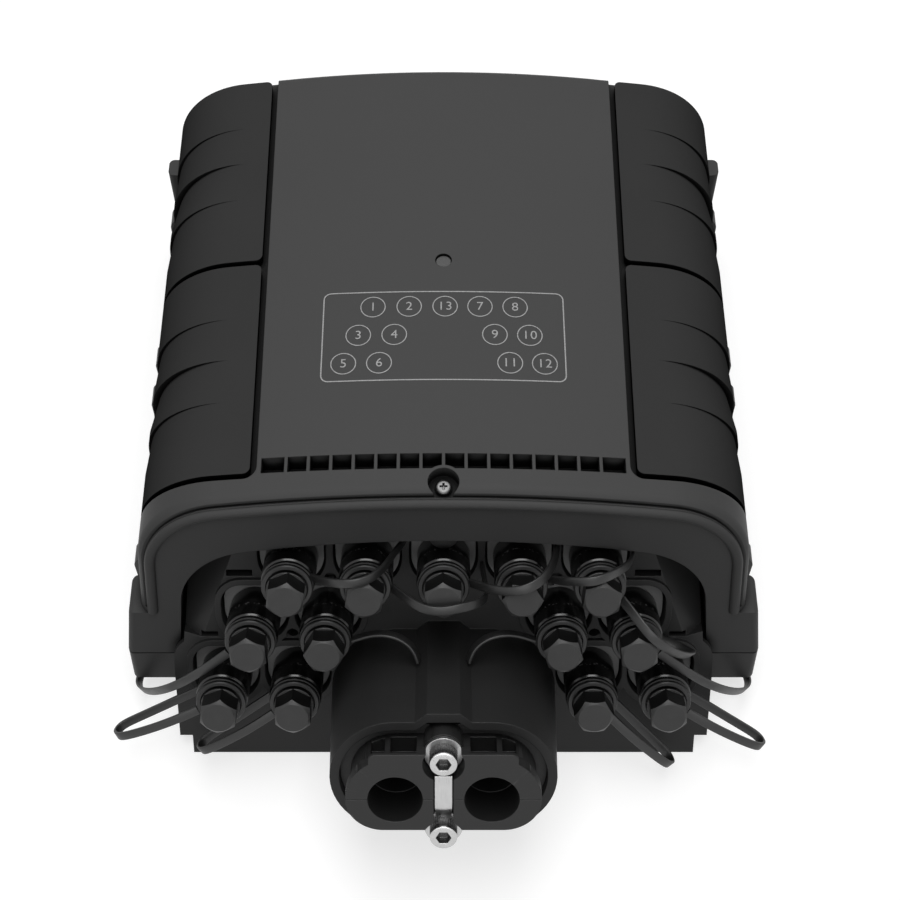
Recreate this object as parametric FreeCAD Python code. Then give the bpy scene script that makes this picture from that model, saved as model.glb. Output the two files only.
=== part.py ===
"""Fibre distribution hub box: an outdoor housing that lies on its back, with thirteen capped drop
ports and a cable gland at its near end, and a screwed cover held down by four side latches.

Frame: +Z up out of the cover, +Y away from the ports, origin at the middle of the bracket inserts
on the back face. Millimetres.
"""
import FreeCAD
import Part
import math
import os

# Overall form of the cover
COVER_TOP = 123.5
COVER_HALF = 118.6
COVER_DRAFT = 4.5
COVER_CORNER = 36.0
COVER_CROWN = 600.0
COVER_WALL = 3.0
SEAM_Z = 32.0
SEAM_GAP = 0.8
REAR_Y = 129.0
REAR_BOW = 1750.0
REAR_TILT = 5.0
REAR_Z = 119.0
REAR_FILLET = 3.5
REAR_ZONE = 15.0
CROWN_START = 10.0
FRONT_Y = -78.8
FRONT_Z = 117.7
FRONT_TILT = 12.0
FRONT_FILLET = 5.5
LIP_GROOVE_SETBACK = 0.55
LIP_GROOVE_WIDTH = 0.9
LIP_GROOVE_DEPTH = 2.85

# Mouth of the hood over the ports
MOUTH_TOP = 98.8
HOOD_SIDE = 14.7
MOUTH_HALF = COVER_HALF - HOOD_SIDE
MOUTH_DRAFT = 6.6
MOUTH_CORNER = 32.0
MOUTH_CROWN = 430.0
MOUTH_END_Y = -56.0
MOUTH_GAP = 1.5
BEAM_WALL = 3.0

# Feet at the near corners, the upper half on the cover and the lower half on the housing
EAR_PROUD = 6.2
EAR_HALF = COVER_HALF + EAR_PROUD
EAR_TOP = 57.0
EAR_LENGTH = 19.0
EAR_DRAFT = 8.0
EAR_FILLET = 2.5
FAR_EAR_END = 137.0

# Side latches and their hinges
STRIP_NEAR_HALF = 67.6
STRIP_FAR_HALF = 69.4
STRIP_GAP = 2.5
LATCH_GAP = 2.2
LATCH_CORNER = 2.6
LATCH_THICK = 3.6
LATCH_REST_GAP = 0.8
LATCH_NEAR_Y = -66.2
LATCH_MIDDLE_Y = 29.8
LATCH_FAR_Y = 125.6
LATCH_SKIRT_Z = 47.0
HINGE_INSET = 0.1
HINGE_X = COVER_HALF - HINGE_INSET
HINGE_Z = 38.0
HINGE_PIN_R = 2.0
HINGE_CLEARANCE = 0.05
HINGE_KNUCKLE_R = 3.5
LUG_WIDTH = 8.0
LUG_GAP = 0.6
LUG_INSET = 5.0
LUG_R = 6.3
GRIP_DEPTHS = (1.2, 2.6, 1.2)
GRIP_PITCH = 19.0
GRIP_LENGTH = 15.0
GRIP_SHIFT = 3.0

# Vent slots and screws in the cover
SLOT_COUNT = 16
SLOT_PITCH = 8.14
SLOT_RIB = 1.2
SLOT_END_EXTRA = 1.5
SLOT_Y = -63.35
SLOT_LENGTH = 6.3
SLOT_DEPTH = 9.0
SCREW_Y = -72.0
SCREW_RECESS_R = 5.7
SCREW_RECESS_DEPTH = 5.8
STOP_Y = -76.7
STOP_R = 5.6
STOP_LOW = 92.0
SCREW_HEAD_R = 3.2
SCREW_HEAD = 2.4
SCREW_SHANK_R = 2.0
SCREW_SHANK = 9.0
SCREW_CLEARANCE = 0.05
SCREW_POINT_GAP = 1.0
LOCK_Y = 27.6
LOCK_HOLE_R = 3.2
LOCK_HEAD_R = 2.8
LOCK_HEAD = 2.2
LOCK_SINK = 1.0
LOCK_SHANK_R = 1.5
LOCK_SHANK = 8.0
LOCK_BOSS_R = 5.5

# Rear housing
FLANGE_WIDTH = 13.6
TUB_HALF = COVER_HALF - FLANGE_WIDTH
TUB_REAR_Y = 126.0
TUB_CORNER = 24.0
TUB_WALL = 4.0
TUB_FLOOR = 4.0
BACK_FILLET = 4.0
FLANGE_Z = 16.0
FLANGE_NEAR_Y = -88.0
FLANGE_CORNER = 10.0
TIER_PROUD = 0.5
TIER_HALF = TUB_HALF + TIER_PROUD
TIER_TOP = 55.0
TIER_GAP = 1.0
TIER_CORNER = 11.0
TIER_NOTCH = 5.0
TIER_NOTCH_UP = 8.4
SHOULDER_LOW_INSET = 10.4
SHOULDER_LOW_S = 55.0
SHOULDER_HIGH_INSET = 25.1
SHOULDER_HIGH_S = 96.2
SHOULDER_ANGLE = 38.0
INSERT_SPACING_X = 120.0
INSERT_SPACING_Y = 140.0
INSERT_R = 4.0
INSERT_BORE_R = 2.5
INSERT_LENGTH = 9.0
INSERT_BOSS_WALL = 3.0

# Ports, in the tilted plane of the port panel
PANEL_Y = -126.0
PORT_TILT = 32.0
PORT_PITCH = 28.8
LOWER_PITCH = 28.0
ROW_TOP_S = 90.3
ROW_MIDDLE_S = 66.6
ROW_LOW_S = 39.3
ROW_MIDDLE_X = 44.3
ROW_LOW_X = 56.8
POCKET_R = 13.0
POCKET_TOP = 12.8
POCKET_CORNER = 8.0
POCKET_DEPTH = 10.0
POCKET_FLOOR = 4.0
BEZEL_WIDTH = 2.4
BEZEL_HEIGHT = 2.0
BARREL_R = 10.0
BARREL_END = 18.0
BARREL_CHAMFER = 0.6
BARREL_BORE_R = 6.9
BARREL_BORE_END = -7.0
SPIGOT_R = 7.9
SPIGOT_CLEARANCE = 0.1
SPIGOT_LENGTH = 16.0
NUT_FLATS = 22.0
NUT_THICK = 6.0
DRAIN_R = 2.3
DRAIN_DEPTH = 6.0
UPPER_DRAIN_RISE = 3.0
LOWER_DRAIN_DROP = 9.0
FLANGE_GAP = 0.8
FLANGE_DROP = 2.0
MIDDLE_SLOT = (72.9, 82.8, 82.4, 85.1)
LOW_SLOT = (87.5, 94.1, 55.2, 57.4)
PANEL_SLOT_DEPTH = 6.0

# Dust caps
CAP_FACE = 31.0
CAP_FACE_R = 6.5
CAP_CHAMFER = 0.9
CAP_FLATS = 13.2
CAP_FLAT_UP = (4,)
CAP_COLLAR_R = 9.5
CAP_COLLAR_WALL = 1.4
CAP_COLLAR_FLOOR = 1.0
CAP_COLLAR_CHAMFER = 0.5
CAP_RIM_R = 9.8
CAP_RIM = 1.4
CAP_GROOVE = 0.8
CAP_GROOVE_R = 9.0
CAP_NECK_R = 6.2
CAP_RING_R = 7.5
CAP_RING = 1.0
CAP_GRIP = 7.6
CAP_COLLAR = 3.8
CAP_SEAT_GAP = 0.3
CAP_STEM = 9.0
CAP_STEM_CLEARANCE = 0.1

# Cap straps
STRAP_WIDTH = 3.6
STRAP_THICK = 1.2

# Cable sleeve and gland
CABLE_SPACING = 34.6
CABLE_S = 32.0
CABLE_R = 9.7
SLEEVE_ROOT_R = 26.6
SLEEVE_RIM_R = 24.2
SLEEVE_WALL = 3.5
SLEEVE_END = 58.0
SLEEVE_HUMP = 3.6
HUMP_TOP_HALF = 6.0
HUMP_ROOT_HALF = 10.3
SEAL_START = 28.0
SEAL_LENGTH = 26.0
GLAND_R = 17.9
GLAND_TOP = 19.5
GLAND_BOTTOM = 13.6
GLAND_FACE = 71.0
GLAND_PLATE = 5.0
GLAND_CLEARANCE = 0.2
GLAND_BODY_R = 16.6
GLAND_POCKET_DEPTH = 6.5
GLAND_RIBS = (8.6, 20.0, 27.0)
GLAND_RIB = 2.0
BOSS_R = 7.2
UPPER_SCREW_S = 15.3
LOWER_SCREW_S = 17.2
LOWER_BOSS = 4.5
BAR_SEAT = 63.4
BAR_RISE = 5.8
BAR_UPPER_BEND = (5.0, 9.4)
BAR_LOWER_BEND = (-3.6, -9.0)
BAR_WIDTH = 6.1
BAR_THICK = 1.6
BAR_EYE_R = 7.0
BAR_GAP = 0.3
BAR_ROOM = 0.5
M6_R = 3.0
M6_HEAD_R = 5.0
M6_HEAD = 6.0
M6_SOCKET_FLATS = 5.0
M6_SOCKET_DEPTH = 3.2
M6_LENGTH = 8.0
M6_CLEARANCE = 0.1

# Inside the box
TRAY_LENGTH = 118.0
TRAY_WIDTH = 160.0
TRAY_HEIGHT = 12.0
TRAY_WALL = 1.8
TRAY_CORNER = 18.0
TRAY_Y = 45.0
TRAY_Z = 34.0
POST_R = 5.0
POST_SPACING_X = 120.0
POST_SPACING_Y = 80.0
SPLITTER_LENGTH = 80.0
SPLITTER_WIDTH = 90.0
SPLITTER_HEIGHT = 14.0
GASKET_WIDTH = 3.0
GASKET_DEPTH = 1.6
GASKET_INSET = 8.0

BIG = 500.0
OVERCUT = 10.0
COVER = (COVER_HALF, COVER_DRAFT, COVER_CORNER, COVER_CROWN, COVER_TOP)
MOUTH = (MOUTH_HALF, MOUTH_DRAFT, MOUTH_CORNER, MOUTH_CROWN, MOUTH_TOP)
RECESS = LATCH_THICK + LATCH_REST_GAP
FLANGE_TOP = SEAM_Z - SEAM_GAP / 2
COVER_LOW = SEAM_Z + SEAM_GAP / 2

X_AXIS = FreeCAD.Vector(1, 0, 0)
Y_AXIS = FreeCAD.Vector(0, 1, 0)
Z_AXIS = FreeCAD.Vector(0, 0, 1)
PANEL = FreeCAD.Placement(FreeCAD.Vector(0, PANEL_Y, 0), FreeCAD.Rotation(X_AXIS, 90 - PORT_TILT))


def vec(x, y, z=0.0):
    return FreeCAD.Vector(x, y, z)


def box(low, high):
    """A box between two corners."""
    size = [b - a for a, b in zip(low, high)]
    return Part.makeBox(*size, vec(*low))


def plate(points, direction):
    """A prism of a closed outline of points."""
    return Part.Face(Part.makePolygon(points + points[:1])).extrude(direction)


def hexagon(flats, z, height):
    """A hexagonal prism about the local Z axis."""
    r = flats / math.sqrt(3)
    corners = [vec(r * math.cos(k * math.pi / 3), r * math.sin(k * math.pi / 3), z) for k in range(6)]
    return plate(corners, vec(0, 0, height))


def mirrored(shape):
    """The same shape on the other side of the middle plane."""
    return shape.mirror(vec(0, 0, 0), X_AXIS)


def on_panel(shape, x=0.0, s=0.0, t=0.0):
    """A shape drawn about the local origin, put at (x, s, t) of the port panel."""
    moved = shape.copy()
    place = FreeCAD.Placement(vec(x, s, t), FreeCAD.Rotation())
    moved.Placement = PANEL.multiply(place).multiply(shape.Placement)
    return moved


# Arched sections: crowned top, round shoulders and sides with draft

def arch_wire(form, inset, low, y):
    """The closed outline of an arch at a depth under its outer skin, in the plane of that y."""
    half, draft, corner, crown, top = form
    slope = math.radians(draft)
    side = vec(math.cos(slope), math.sin(slope))
    along = vec(-math.sin(slope), math.cos(slope))
    reach = half * math.cos(slope) + SEAM_Z * math.sin(slope)
    foot = side * (reach - corner) - vec(0, top - crown)
    b = foot.dot(along)
    rise = -b + math.sqrt(b * b - foot.dot(foot) + (crown - corner) ** 2)
    centre = side * (reach - corner) + along * rise
    hub = vec(0, top - crown)
    out = (centre - hub).normalize()
    shoulder = hub + out * (crown - inset)
    hip = centre + side * (corner - inset)
    bisector = (out + side).normalize()
    middle = centre + bisector * (corner - inset)
    base = hip - along * ((hip.y - low) / along.y)

    def place(p, sign=1):
        return vec(sign * p.x, y, p.y)

    crest = place(hub + vec(0, crown - inset))
    return Part.Wire(
        [
            Part.LineSegment(place(base), place(hip)).toShape(),
            Part.Arc(place(hip), place(middle), place(shoulder)).toShape(),
            Part.Arc(place(shoulder), crest, place(shoulder, -1)).toShape(),
            Part.Arc(place(shoulder, -1), place(middle, -1), place(hip, -1)).toShape(),
            Part.LineSegment(place(hip, -1), place(base, -1)).toShape(),
            Part.LineSegment(place(base, -1), place(base)).toShape(),
        ]
    )


def arch(form, inset, low, y0, y1):
    """A solid of the arch from one y to another."""
    return Part.Face(arch_wire(form, inset, low, y0)).extrude(vec(0, y1 - y0, 0))


def ahead_of_front(gap=0.0):
    """Everything ahead of the cover's tilted front face, moved forward by a gap."""
    space = Part.makeBox(BIG, BIG, 2 * BIG, vec(-BIG / 2, -BIG, -BIG))
    space.rotate(vec(0, 0, 0), X_AXIS, -FRONT_TILT)
    space.translate(vec(0, FRONT_Y - gap, FRONT_Z))
    return space


def front_y(z):
    """Where the front face is at a height."""
    return FRONT_Y - (FRONT_Z - z) * math.tan(math.radians(FRONT_TILT))


def ear_block(low, high, draft, near, far):
    """A block at the right side between two heights, whose outer face leans in by the draft."""
    inner = TUB_HALF - TUB_WALL
    lean = (high - low) * math.tan(math.radians(draft))
    outline = [
        vec(inner, near, low),
        vec(EAR_HALF, near, low),
        vec(EAR_HALF - lean, near, high),
        vec(inner, near, high),
    ]
    return plate(outline, vec(0, far - near, 0))


def rounded_ear(solid, draft):
    """The block with its outer upright edges and, on the drafted half, its top edge rounded."""
    inner = TUB_HALF
    outer = [e for e in solid.Edges if e.BoundBox.XMin > inner and e.BoundBox.ZLength > 5]
    if draft:
        top = solid.BoundBox.ZMax - 0.1
        outer += [e for e in solid.Edges if e.BoundBox.XMin > inner and e.BoundBox.ZMin > top]
    return solid.makeFillet(EAR_FILLET, outer)


def ear(low, high, draft):
    """The foot at the right near corner, cut off by the plane of the hood's front face."""
    back = front_y((low + high) / 2) + EAR_LENGTH
    solid = ear_block(low, high, draft, front_y(low), back).cut(ahead_of_front())
    return rounded_ear(solid, draft)


def far_ear(low, high, draft):
    """The foot at the right far corner, beyond the latch."""
    return rounded_ear(ear_block(low, high, draft, LATCH_FAR_Y + LATCH_GAP, FAR_EAR_END), draft)


def both_sides(shape):
    return [shape, mirrored(shape)]


# Front cover

def cover_skin():
    """The cover's outer form with its rounded near and far edges."""
    skin = arch(COVER, 0, COVER_LOW, front_y(COVER_LOW) - 1, FAR_EAR_END + 5)
    bow = Part.makeCylinder(REAR_BOW, 2 * BIG, vec(0, -REAR_BOW, -BIG))
    bow.rotate(vec(0, 0, 0), X_AXIS, REAR_TILT)
    bow.translate(vec(0, REAR_Y, REAR_Z))
    skin = skin.common(bow).cut(ahead_of_front())
    crown = SEAM_Z + CROWN_START
    far = [e for e in skin.Edges if e.BoundBox.YMin > LATCH_FAR_Y - REAR_ZONE and e.BoundBox.ZMax > crown]
    skin = skin.makeFillet(REAR_FILLET, far)
    near = [e for e in skin.Edges if e.BoundBox.YMax < FRONT_Y + 1 and e.BoundBox.ZMax > crown]
    return skin.makeFillet(FRONT_FILLET, near)


def strip_edge(y):
    """Half the width of the cover's middle strip, which narrows towards the ports."""
    share = (y - LATCH_NEAR_Y) / (LATCH_FAR_Y - LATCH_NEAR_Y)
    return STRIP_NEAR_HALF + share * (STRIP_FAR_HALF - STRIP_NEAR_HALF)


def beside_strip(gap, y0, y1, corner):
    """Everything right of the middle strip between two y, with rounded corners beside the strip."""
    points = [vec(strip_edge(y) + gap, y) for y in (y0, y1)] + [vec(BIG, y1), vec(BIG, y0)]
    solid = plate(points, vec(0, 0, BIG))
    inner = [e for e in solid.Edges if e.BoundBox.ZLength > 1 and e.CenterOfMass.x < BIG / 2]
    return solid.makeFillet(corner, inner)


def latch_room():
    """The stepped-down bed on the right side in which the latches lie."""
    zone = beside_strip(0, LATCH_NEAR_Y - LATCH_GAP, LATCH_FAR_Y + LATCH_GAP, LATCH_CORNER + STRIP_GAP)
    open_end = box((STRIP_FAR_HALF, LATCH_MIDDLE_Y, EAR_TOP + SEAM_GAP), (BIG, BIG, BIG))
    return zone.fuse(open_end).cut(arch(COVER, RECESS, 0, -BIG / 2, BIG / 2))


def vent_slots():
    """The row of blind slots across the top of the hood."""
    cuts = []
    for k in range(SLOT_COUNT):
        x = (k - (SLOT_COUNT - 1) / 2) * SLOT_PITCH
        half = (SLOT_PITCH - SLOT_RIB) / 2
        left = half + (SLOT_END_EXTRA if k == 0 else 0)
        right = half + (SLOT_END_EXTRA if k == SLOT_COUNT - 1 else 0)
        skin_z = COVER_TOP - x * x / (2 * COVER_CROWN)
        low = (x - left, SLOT_Y - SLOT_LENGTH / 2, skin_z - SLOT_DEPTH)
        cuts.append(box(low, (x + right, SLOT_Y + SLOT_LENGTH / 2, BIG)))
    return cuts


def front_cover():
    ears = both_sides(ear(COVER_LOW, EAR_TOP, EAR_DRAFT))
    ears += both_sides(far_ear(COVER_LOW, EAR_TOP, 0))
    skin = cover_skin().multiFuse(ears)
    groove = ahead_of_front(-LIP_GROOVE_SETBACK - LIP_GROOVE_WIDTH).cut(ahead_of_front(-LIP_GROOVE_SETBACK))
    groove = groove.common(box((-BIG, -BIG, EAR_TOP + EAR_FILLET), (BIG, BIG, BIG)))
    groove = groove.cut(arch(COVER, LIP_GROOVE_DEPTH, 0, -BIG / 2, BIG / 2))
    under = RECESS + COVER_WALL
    hollow = arch(COVER, under, 0, MOUTH_END_Y + BEAM_WALL, LATCH_FAR_Y + LATCH_GAP - COVER_WALL)
    middle = arch(COVER, COVER_WALL, 0, MOUTH_END_Y + BEAM_WALL, LATCH_FAR_Y + LATCH_GAP - COVER_WALL)
    strip = STRIP_NEAR_HALF - COVER_WALL
    hollow = hollow.fuse(middle.common(box((-strip, -BIG, 0), (strip, BIG, BIG))))
    mouth = arch(MOUTH, 0, 0, -BIG / 2, MOUTH_END_Y + BEAM_WALL + 1)
    boss_low = COVER_TOP - SCREW_RECESS_DEPTH
    recess = Part.makeCylinder(SCREW_RECESS_R, BIG, vec(0, SCREW_Y, boss_low))
    hole_r = SCREW_SHANK_R + SCREW_CLEARANCE
    hole = Part.makeCylinder(hole_r, SCREW_SHANK, vec(0, SCREW_Y, boss_low - SCREW_SHANK))
    collar = Part.makeCylinder(SCREW_RECESS_R + SLOT_RIB, SLOT_DEPTH, vec(0, SCREW_Y, COVER_TOP - SLOT_DEPTH))
    slots = [slot.cut(collar) for slot in vent_slots()]
    lock_floor = COVER_TOP - LOCK_SINK - LOCK_HEAD
    lock_top = COVER_TOP - COVER_WALL
    lock_boss = Part.makeCylinder(LOCK_BOSS_R, LOCK_SHANK, vec(0, LOCK_Y, lock_top - LOCK_SHANK + 1))
    lock_sink = Part.makeCylinder(LOCK_HOLE_R, BIG, vec(0, LOCK_Y, lock_floor))
    lock_hole = Part.makeCylinder(
        LOCK_SHANK_R + SCREW_CLEARANCE, LOCK_SHANK, vec(0, LOCK_Y, lock_floor - LOCK_SHANK)
    )
    cover = skin.cut([hollow, mouth, groove, recess, hole] + both_sides(latch_room()) + slots)
    stop = Part.makeCylinder(STOP_R, MOUTH_TOP + 1 - STOP_LOW, vec(0, STOP_Y, STOP_LOW))
    return cover.multiFuse([lock_boss, stop]).cut([lock_sink, lock_hole]).removeSplitter()


def cover_screw():
    """The cross-head screw at the near edge, seated on the floor of its recess."""
    seat = COVER_TOP - SCREW_RECESS_DEPTH
    head = Part.makeCylinder(SCREW_HEAD_R, SCREW_HEAD, vec(0, SCREW_Y, seat))
    rim = [e for e in head.Edges if e.BoundBox.ZMin > seat + SCREW_HEAD / 2]
    head = head.makeFillet(SCREW_HEAD / 2, rim)
    length = SCREW_SHANK - SCREW_POINT_GAP
    return head.fuse(Part.makeCylinder(SCREW_SHANK_R, length, vec(0, SCREW_Y, seat - length)))


def lock_screw():
    """The small security screw in the middle of the cover."""
    seat = COVER_TOP - LOCK_SINK - LOCK_HEAD
    head = Part.makeCylinder(LOCK_HEAD_R, LOCK_HEAD, vec(0, LOCK_Y, seat))
    length = LOCK_SHANK - SCREW_POINT_GAP
    return head.fuse(Part.makeCylinder(LOCK_SHANK_R, length, vec(0, LOCK_Y, seat - length)))


# Side latches

def latch_spans():
    """Near and far end of each of the two latches of a side."""
    half = LATCH_GAP / 2
    return {"near": (LATCH_NEAR_Y, LATCH_MIDDLE_Y - half), "far": (LATCH_MIDDLE_Y + half, LATCH_FAR_Y)}


def grip(y, depth):
    """The space of a finger grip: deepest at its far end y, where it stops at a sharp step."""
    worn = (COVER_HALF - depth,) + COVER[1:]
    near = arch_wire(COVER, 0, 0, y - GRIP_LENGTH)
    left = Part.makeLoft([near, arch_wire(worn, 0, 0, y)], True, True)
    return box((0, y - GRIP_LENGTH, LATCH_SKIRT_Z), (BIG, y, BIG)).cut(left)


def latch(y0, y1):
    """A wing of the right side: shell over the shoulder, finger ridges and hinge knuckle."""
    shell = arch(COVER, 0, LATCH_SKIRT_Z, y0, y1).cut(arch(COVER, LATCH_THICK, 0, y0 - 1, y1 + 1))
    shell = shell.common(beside_strip(STRIP_GAP, y0, y1, LATCH_CORNER))
    inset = LUG_INSET + LUG_WIDTH + LUG_GAP
    skirt = arch(COVER, 0, HINGE_Z, y0 + inset, y1 - inset).cut(arch(COVER, LATCH_THICK, 0, y0, y1))
    skirt = skirt.common(box((0, y0, HINGE_Z), (BIG, y1, LATCH_SKIRT_Z)))
    length = y1 - y0 - 2 * inset
    knuckle = Part.makeCylinder(HINGE_KNUCKLE_R, length, vec(HINGE_X, y0 + inset, HINGE_Z), Y_AXIS)
    bore_r = HINGE_PIN_R + HINGE_CLEARANCE
    bore = Part.makeCylinder(bore_r, length + 2, vec(HINGE_X, y0 + inset - 1, HINGE_Z), Y_AXIS)
    middle = (y0 + y1) / 2 + GRIP_SHIFT
    grips = [grip(middle + k * GRIP_PITCH, depth) for k, depth in zip((-1, 0, 1), GRIP_DEPTHS)]
    return shell.multiFuse([skirt, knuckle]).cut([bore] + grips).removeSplitter()


def latch_pins():
    """One steel pin through the two lugs of each latch."""
    pins = []
    for y0, y1 in latch_spans().values():
        length = y1 - y0 - 2 * LUG_INSET
        pin = Part.makeCylinder(HINGE_PIN_R, length, vec(HINGE_X, y0 + LUG_INSET, HINGE_Z), Y_AXIS)
        pins += both_sides(pin)
    return Part.makeCompound(pins)


def hinge_lugs():
    """The lugs that stand on the housing's flange at both ends of each latch, right side."""
    lugs = []
    for y0, y1 in latch_spans().values():
        for y in (y0 + LUG_INSET, y1 - LUG_INSET - LUG_WIDTH):
            round_end = Part.makeCylinder(LUG_R, LUG_WIDTH, vec(HINGE_X, y, HINGE_Z), Y_AXIS)
            stem = box((HINGE_X - LUG_R, y, FLANGE_Z), (HINGE_X + LUG_R, y + LUG_WIDTH, HINGE_Z))
            inner = HINGE_X - HINGE_KNUCKLE_R
            lug = stem.fuse(round_end).cut(box((0, y, FLANGE_TOP), (inner, y + LUG_WIDTH, BIG)))
            bore = Part.makeCylinder(
                HINGE_PIN_R + HINGE_CLEARANCE, LUG_WIDTH + 2, vec(HINGE_X, y - 1, HINGE_Z), Y_AXIS
            )
            lugs.append(lug.cut(bore))
    return lugs


# Ports

def ports():
    """Number of each port and its place (x, s) on the panel."""
    pitch, lower_pitch = PORT_PITCH, LOWER_PITCH
    top, middle, low = ROW_TOP_S, ROW_MIDDLE_S, ROW_LOW_S
    return {
        1: (-2 * pitch, top),
        2: (-pitch, top),
        3: (-ROW_MIDDLE_X - lower_pitch, middle),
        4: (-ROW_MIDDLE_X, middle),
        5: (-ROW_LOW_X - lower_pitch, low),
        6: (-ROW_LOW_X, low),
        7: (pitch, top),
        8: (2 * pitch, top),
        9: (ROW_MIDDLE_X, middle),
        10: (ROW_MIDDLE_X + lower_pitch, middle),
        11: (ROW_LOW_X, low),
        12: (ROW_LOW_X + lower_pitch, low),
        13: (0.0, top),
    }


def shield(grow, z, height):
    """The pocket's outline: round below, square with round corners above."""
    r = POCKET_R + grow
    corner = POCKET_CORNER + grow
    top = POCKET_TOP + grow
    bend = corner * math.sqrt(0.5)
    points = [vec(-r, 0, z), vec(-r, top - corner, z), vec(-r + corner, top, z)]
    left = vec(-r + corner - bend, top - corner + bend, z)

    def other(p):
        return vec(-p.x, p.y, p.z)

    outline = Part.Wire(
        [
            Part.LineSegment(points[0], points[1]).toShape(),
            Part.Arc(points[1], left, points[2]).toShape(),
            Part.LineSegment(points[2], other(points[2])).toShape(),
            Part.Arc(other(points[2]), other(left), other(points[1])).toShape(),
            Part.LineSegment(other(points[1]), other(points[0])).toShape(),
            Part.Arc(other(points[0]), vec(0, -r, z), points[0]).toShape(),
        ]
    )
    return Part.Face(outline).extrude(vec(0, 0, height))


def port_adapter():
    """A drop adapter: glossy barrel with its socket, and the spigot that goes through the panel."""
    barrel = Part.makeCylinder(BARREL_R, BARREL_END + POCKET_DEPTH, vec(0, 0, -POCKET_DEPTH))
    end = [e for e in barrel.Edges if e.BoundBox.ZMin > BARREL_END - 0.1]
    barrel = barrel.makeChamfer(BARREL_CHAMFER, end)
    spigot = Part.makeCylinder(SPIGOT_R, SPIGOT_LENGTH, vec(0, 0, -POCKET_DEPTH - SPIGOT_LENGTH))
    socket = Part.makeCylinder(BARREL_BORE_R, BIG, vec(0, 0, BARREL_BORE_END))
    flange = shield(-FLANGE_GAP, -POCKET_DEPTH, POCKET_DEPTH - FLANGE_DROP)
    return flange.multiFuse([barrel, spigot]).cut(socket).removeSplitter()


def adapter_nut():
    """The hexagon nut that pulls an adapter against the panel from inside."""
    top = -POCKET_DEPTH - POCKET_FLOOR
    nut = hexagon(NUT_FLATS, top - NUT_THICK, NUT_THICK)
    return nut.cut(Part.makeCylinder(SPIGOT_R, NUT_THICK, vec(0, 0, top - NUT_THICK)))


def dust_cap(flat_up):
    """A quarter-turn cap: stem in the socket, open collar, neck, and a hexagon with a round face."""
    seat = BARREL_END + CAP_SEAT_GAP
    stem = Part.makeCylinder(BARREL_BORE_R - CAP_STEM_CLEARANCE, CAP_STEM, vec(0, 0, seat - CAP_STEM))
    rim = Part.makeCylinder(CAP_RIM_R, CAP_RIM, vec(0, 0, seat))
    groove_end = CAP_RIM + CAP_GROOVE
    groove = Part.makeCylinder(CAP_GROOVE_R, groove_end, vec(0, 0, seat))
    collar = Part.makeCylinder(CAP_COLLAR_R, CAP_COLLAR - groove_end, vec(0, 0, seat + groove_end))
    front = [e for e in collar.Edges if e.BoundBox.ZMin > seat + CAP_COLLAR - CAP_COLLAR_CHAMFER]
    collar = collar.makeChamfer(CAP_COLLAR_CHAMFER, front).multiFuse([rim, groove])
    inner = Part.makeCylinder(CAP_COLLAR_R - CAP_COLLAR_WALL, CAP_COLLAR, vec(0, 0, seat + CAP_COLLAR_FLOOR))
    base = CAP_FACE - CAP_GRIP
    neck = Part.makeCylinder(CAP_NECK_R, base - seat, vec(0, 0, seat))
    ring = Part.makeCylinder(CAP_RING_R, CAP_RING, vec(0, 0, base - CAP_RING))
    corner = CAP_FLATS / math.sqrt(3)
    grip_end = hexagon(CAP_FLATS, base, CAP_GRIP)
    cone = Part.makeCone(corner, CAP_FACE_R, CAP_CHAMFER, vec(0, 0, CAP_FACE - CAP_CHAMFER))
    grip_end = grip_end.common(cone.fuse(Part.makeCylinder(corner, CAP_GRIP - CAP_CHAMFER, vec(0, 0, base))))
    if not flat_up:
        grip_end.rotate(vec(0, 0, 0), Z_AXIS, 30)
    return collar.cut(inner).multiFuse([stem, neck, ring, grip_end]).removeSplitter()


# Cap straps: flat rubber bands from the adapter barrel to the cap, as bent on the product.
# Each route lists points (radius, height) in an upright plane through the port axis at an angle,
# or points (across, up, out) from the port axis.
SIDE_LOOP = [(10.1, 20.3), (17.5, 21), (27, 20.8), (37, 19.5), (44.7, 17.6), (47.3, 14.7), (47, 11.4),
             (44.7, 9.1), (37, 8.3), (27, 7.4), (17.5, 6.4), (10.4, 5.9)]
HOOD_LEFT = [(9.5, 3.4, 20.3), (12.6, 4.9, 24.8), (16.4, 7, 29.5), (20.6, 8.4, 32.8), (25.2, 9, 33.8),
             (29.5, 9.4, 32.4), (33, 9.6, 28.8), (35.8, 9.5, 23.5), (37.8, 9.2, 17), (39.8, 9.1, 10.5),
             (42, 9.1, 5.2), (43.2, 9, 0.5)]
HOOD_MIDDLE = [(10, 1.3, 20.3), (14.2, 2.5, 25.4), (19.6, 4.2, 30.6), (25, 5.6, 33.8), (30, 7.2, 34.5),
               (34.2, 8.6, 32.6), (37.4, 9.5, 28.4), (39.9, 9.9, 22), (41.4, 9.9, 14.5), (42.4, 9.8, 7.4),
               (43.2, 9.7, 0.5)]
HOOD_RIGHT = [(9.5, 3.4, 20.3), (12.8, 5, 25), (16.8, 7.6, 29.8), (21, 9.2, 32.8), (25, 10, 33.8),
              (29.2, 10.5, 32.4), (33, 10.2, 28.6), (36.8, 9, 23), (39.9, 7.4, 16.5), (41.8, 6.9, 9),
              (43.2, 6.8, 0.5)]
ACROSS_MIDDLE = [(10.1, -1, 20.3), (14.2, -1.3, 26), (18.4, -1.7, 30.8), (23.2, -2.2, 34), (28.9, -2.1, 34.8),
                 (34.6, -1.2, 34.2), (39.6, -1.6, 31), (43.4, -3, 26), (45, -4.2, 19.6), (44.5, -4.3, 12.6),
                 (43.9, -3.6, 6.2), (43.2, -3, 0.5)]
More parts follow.
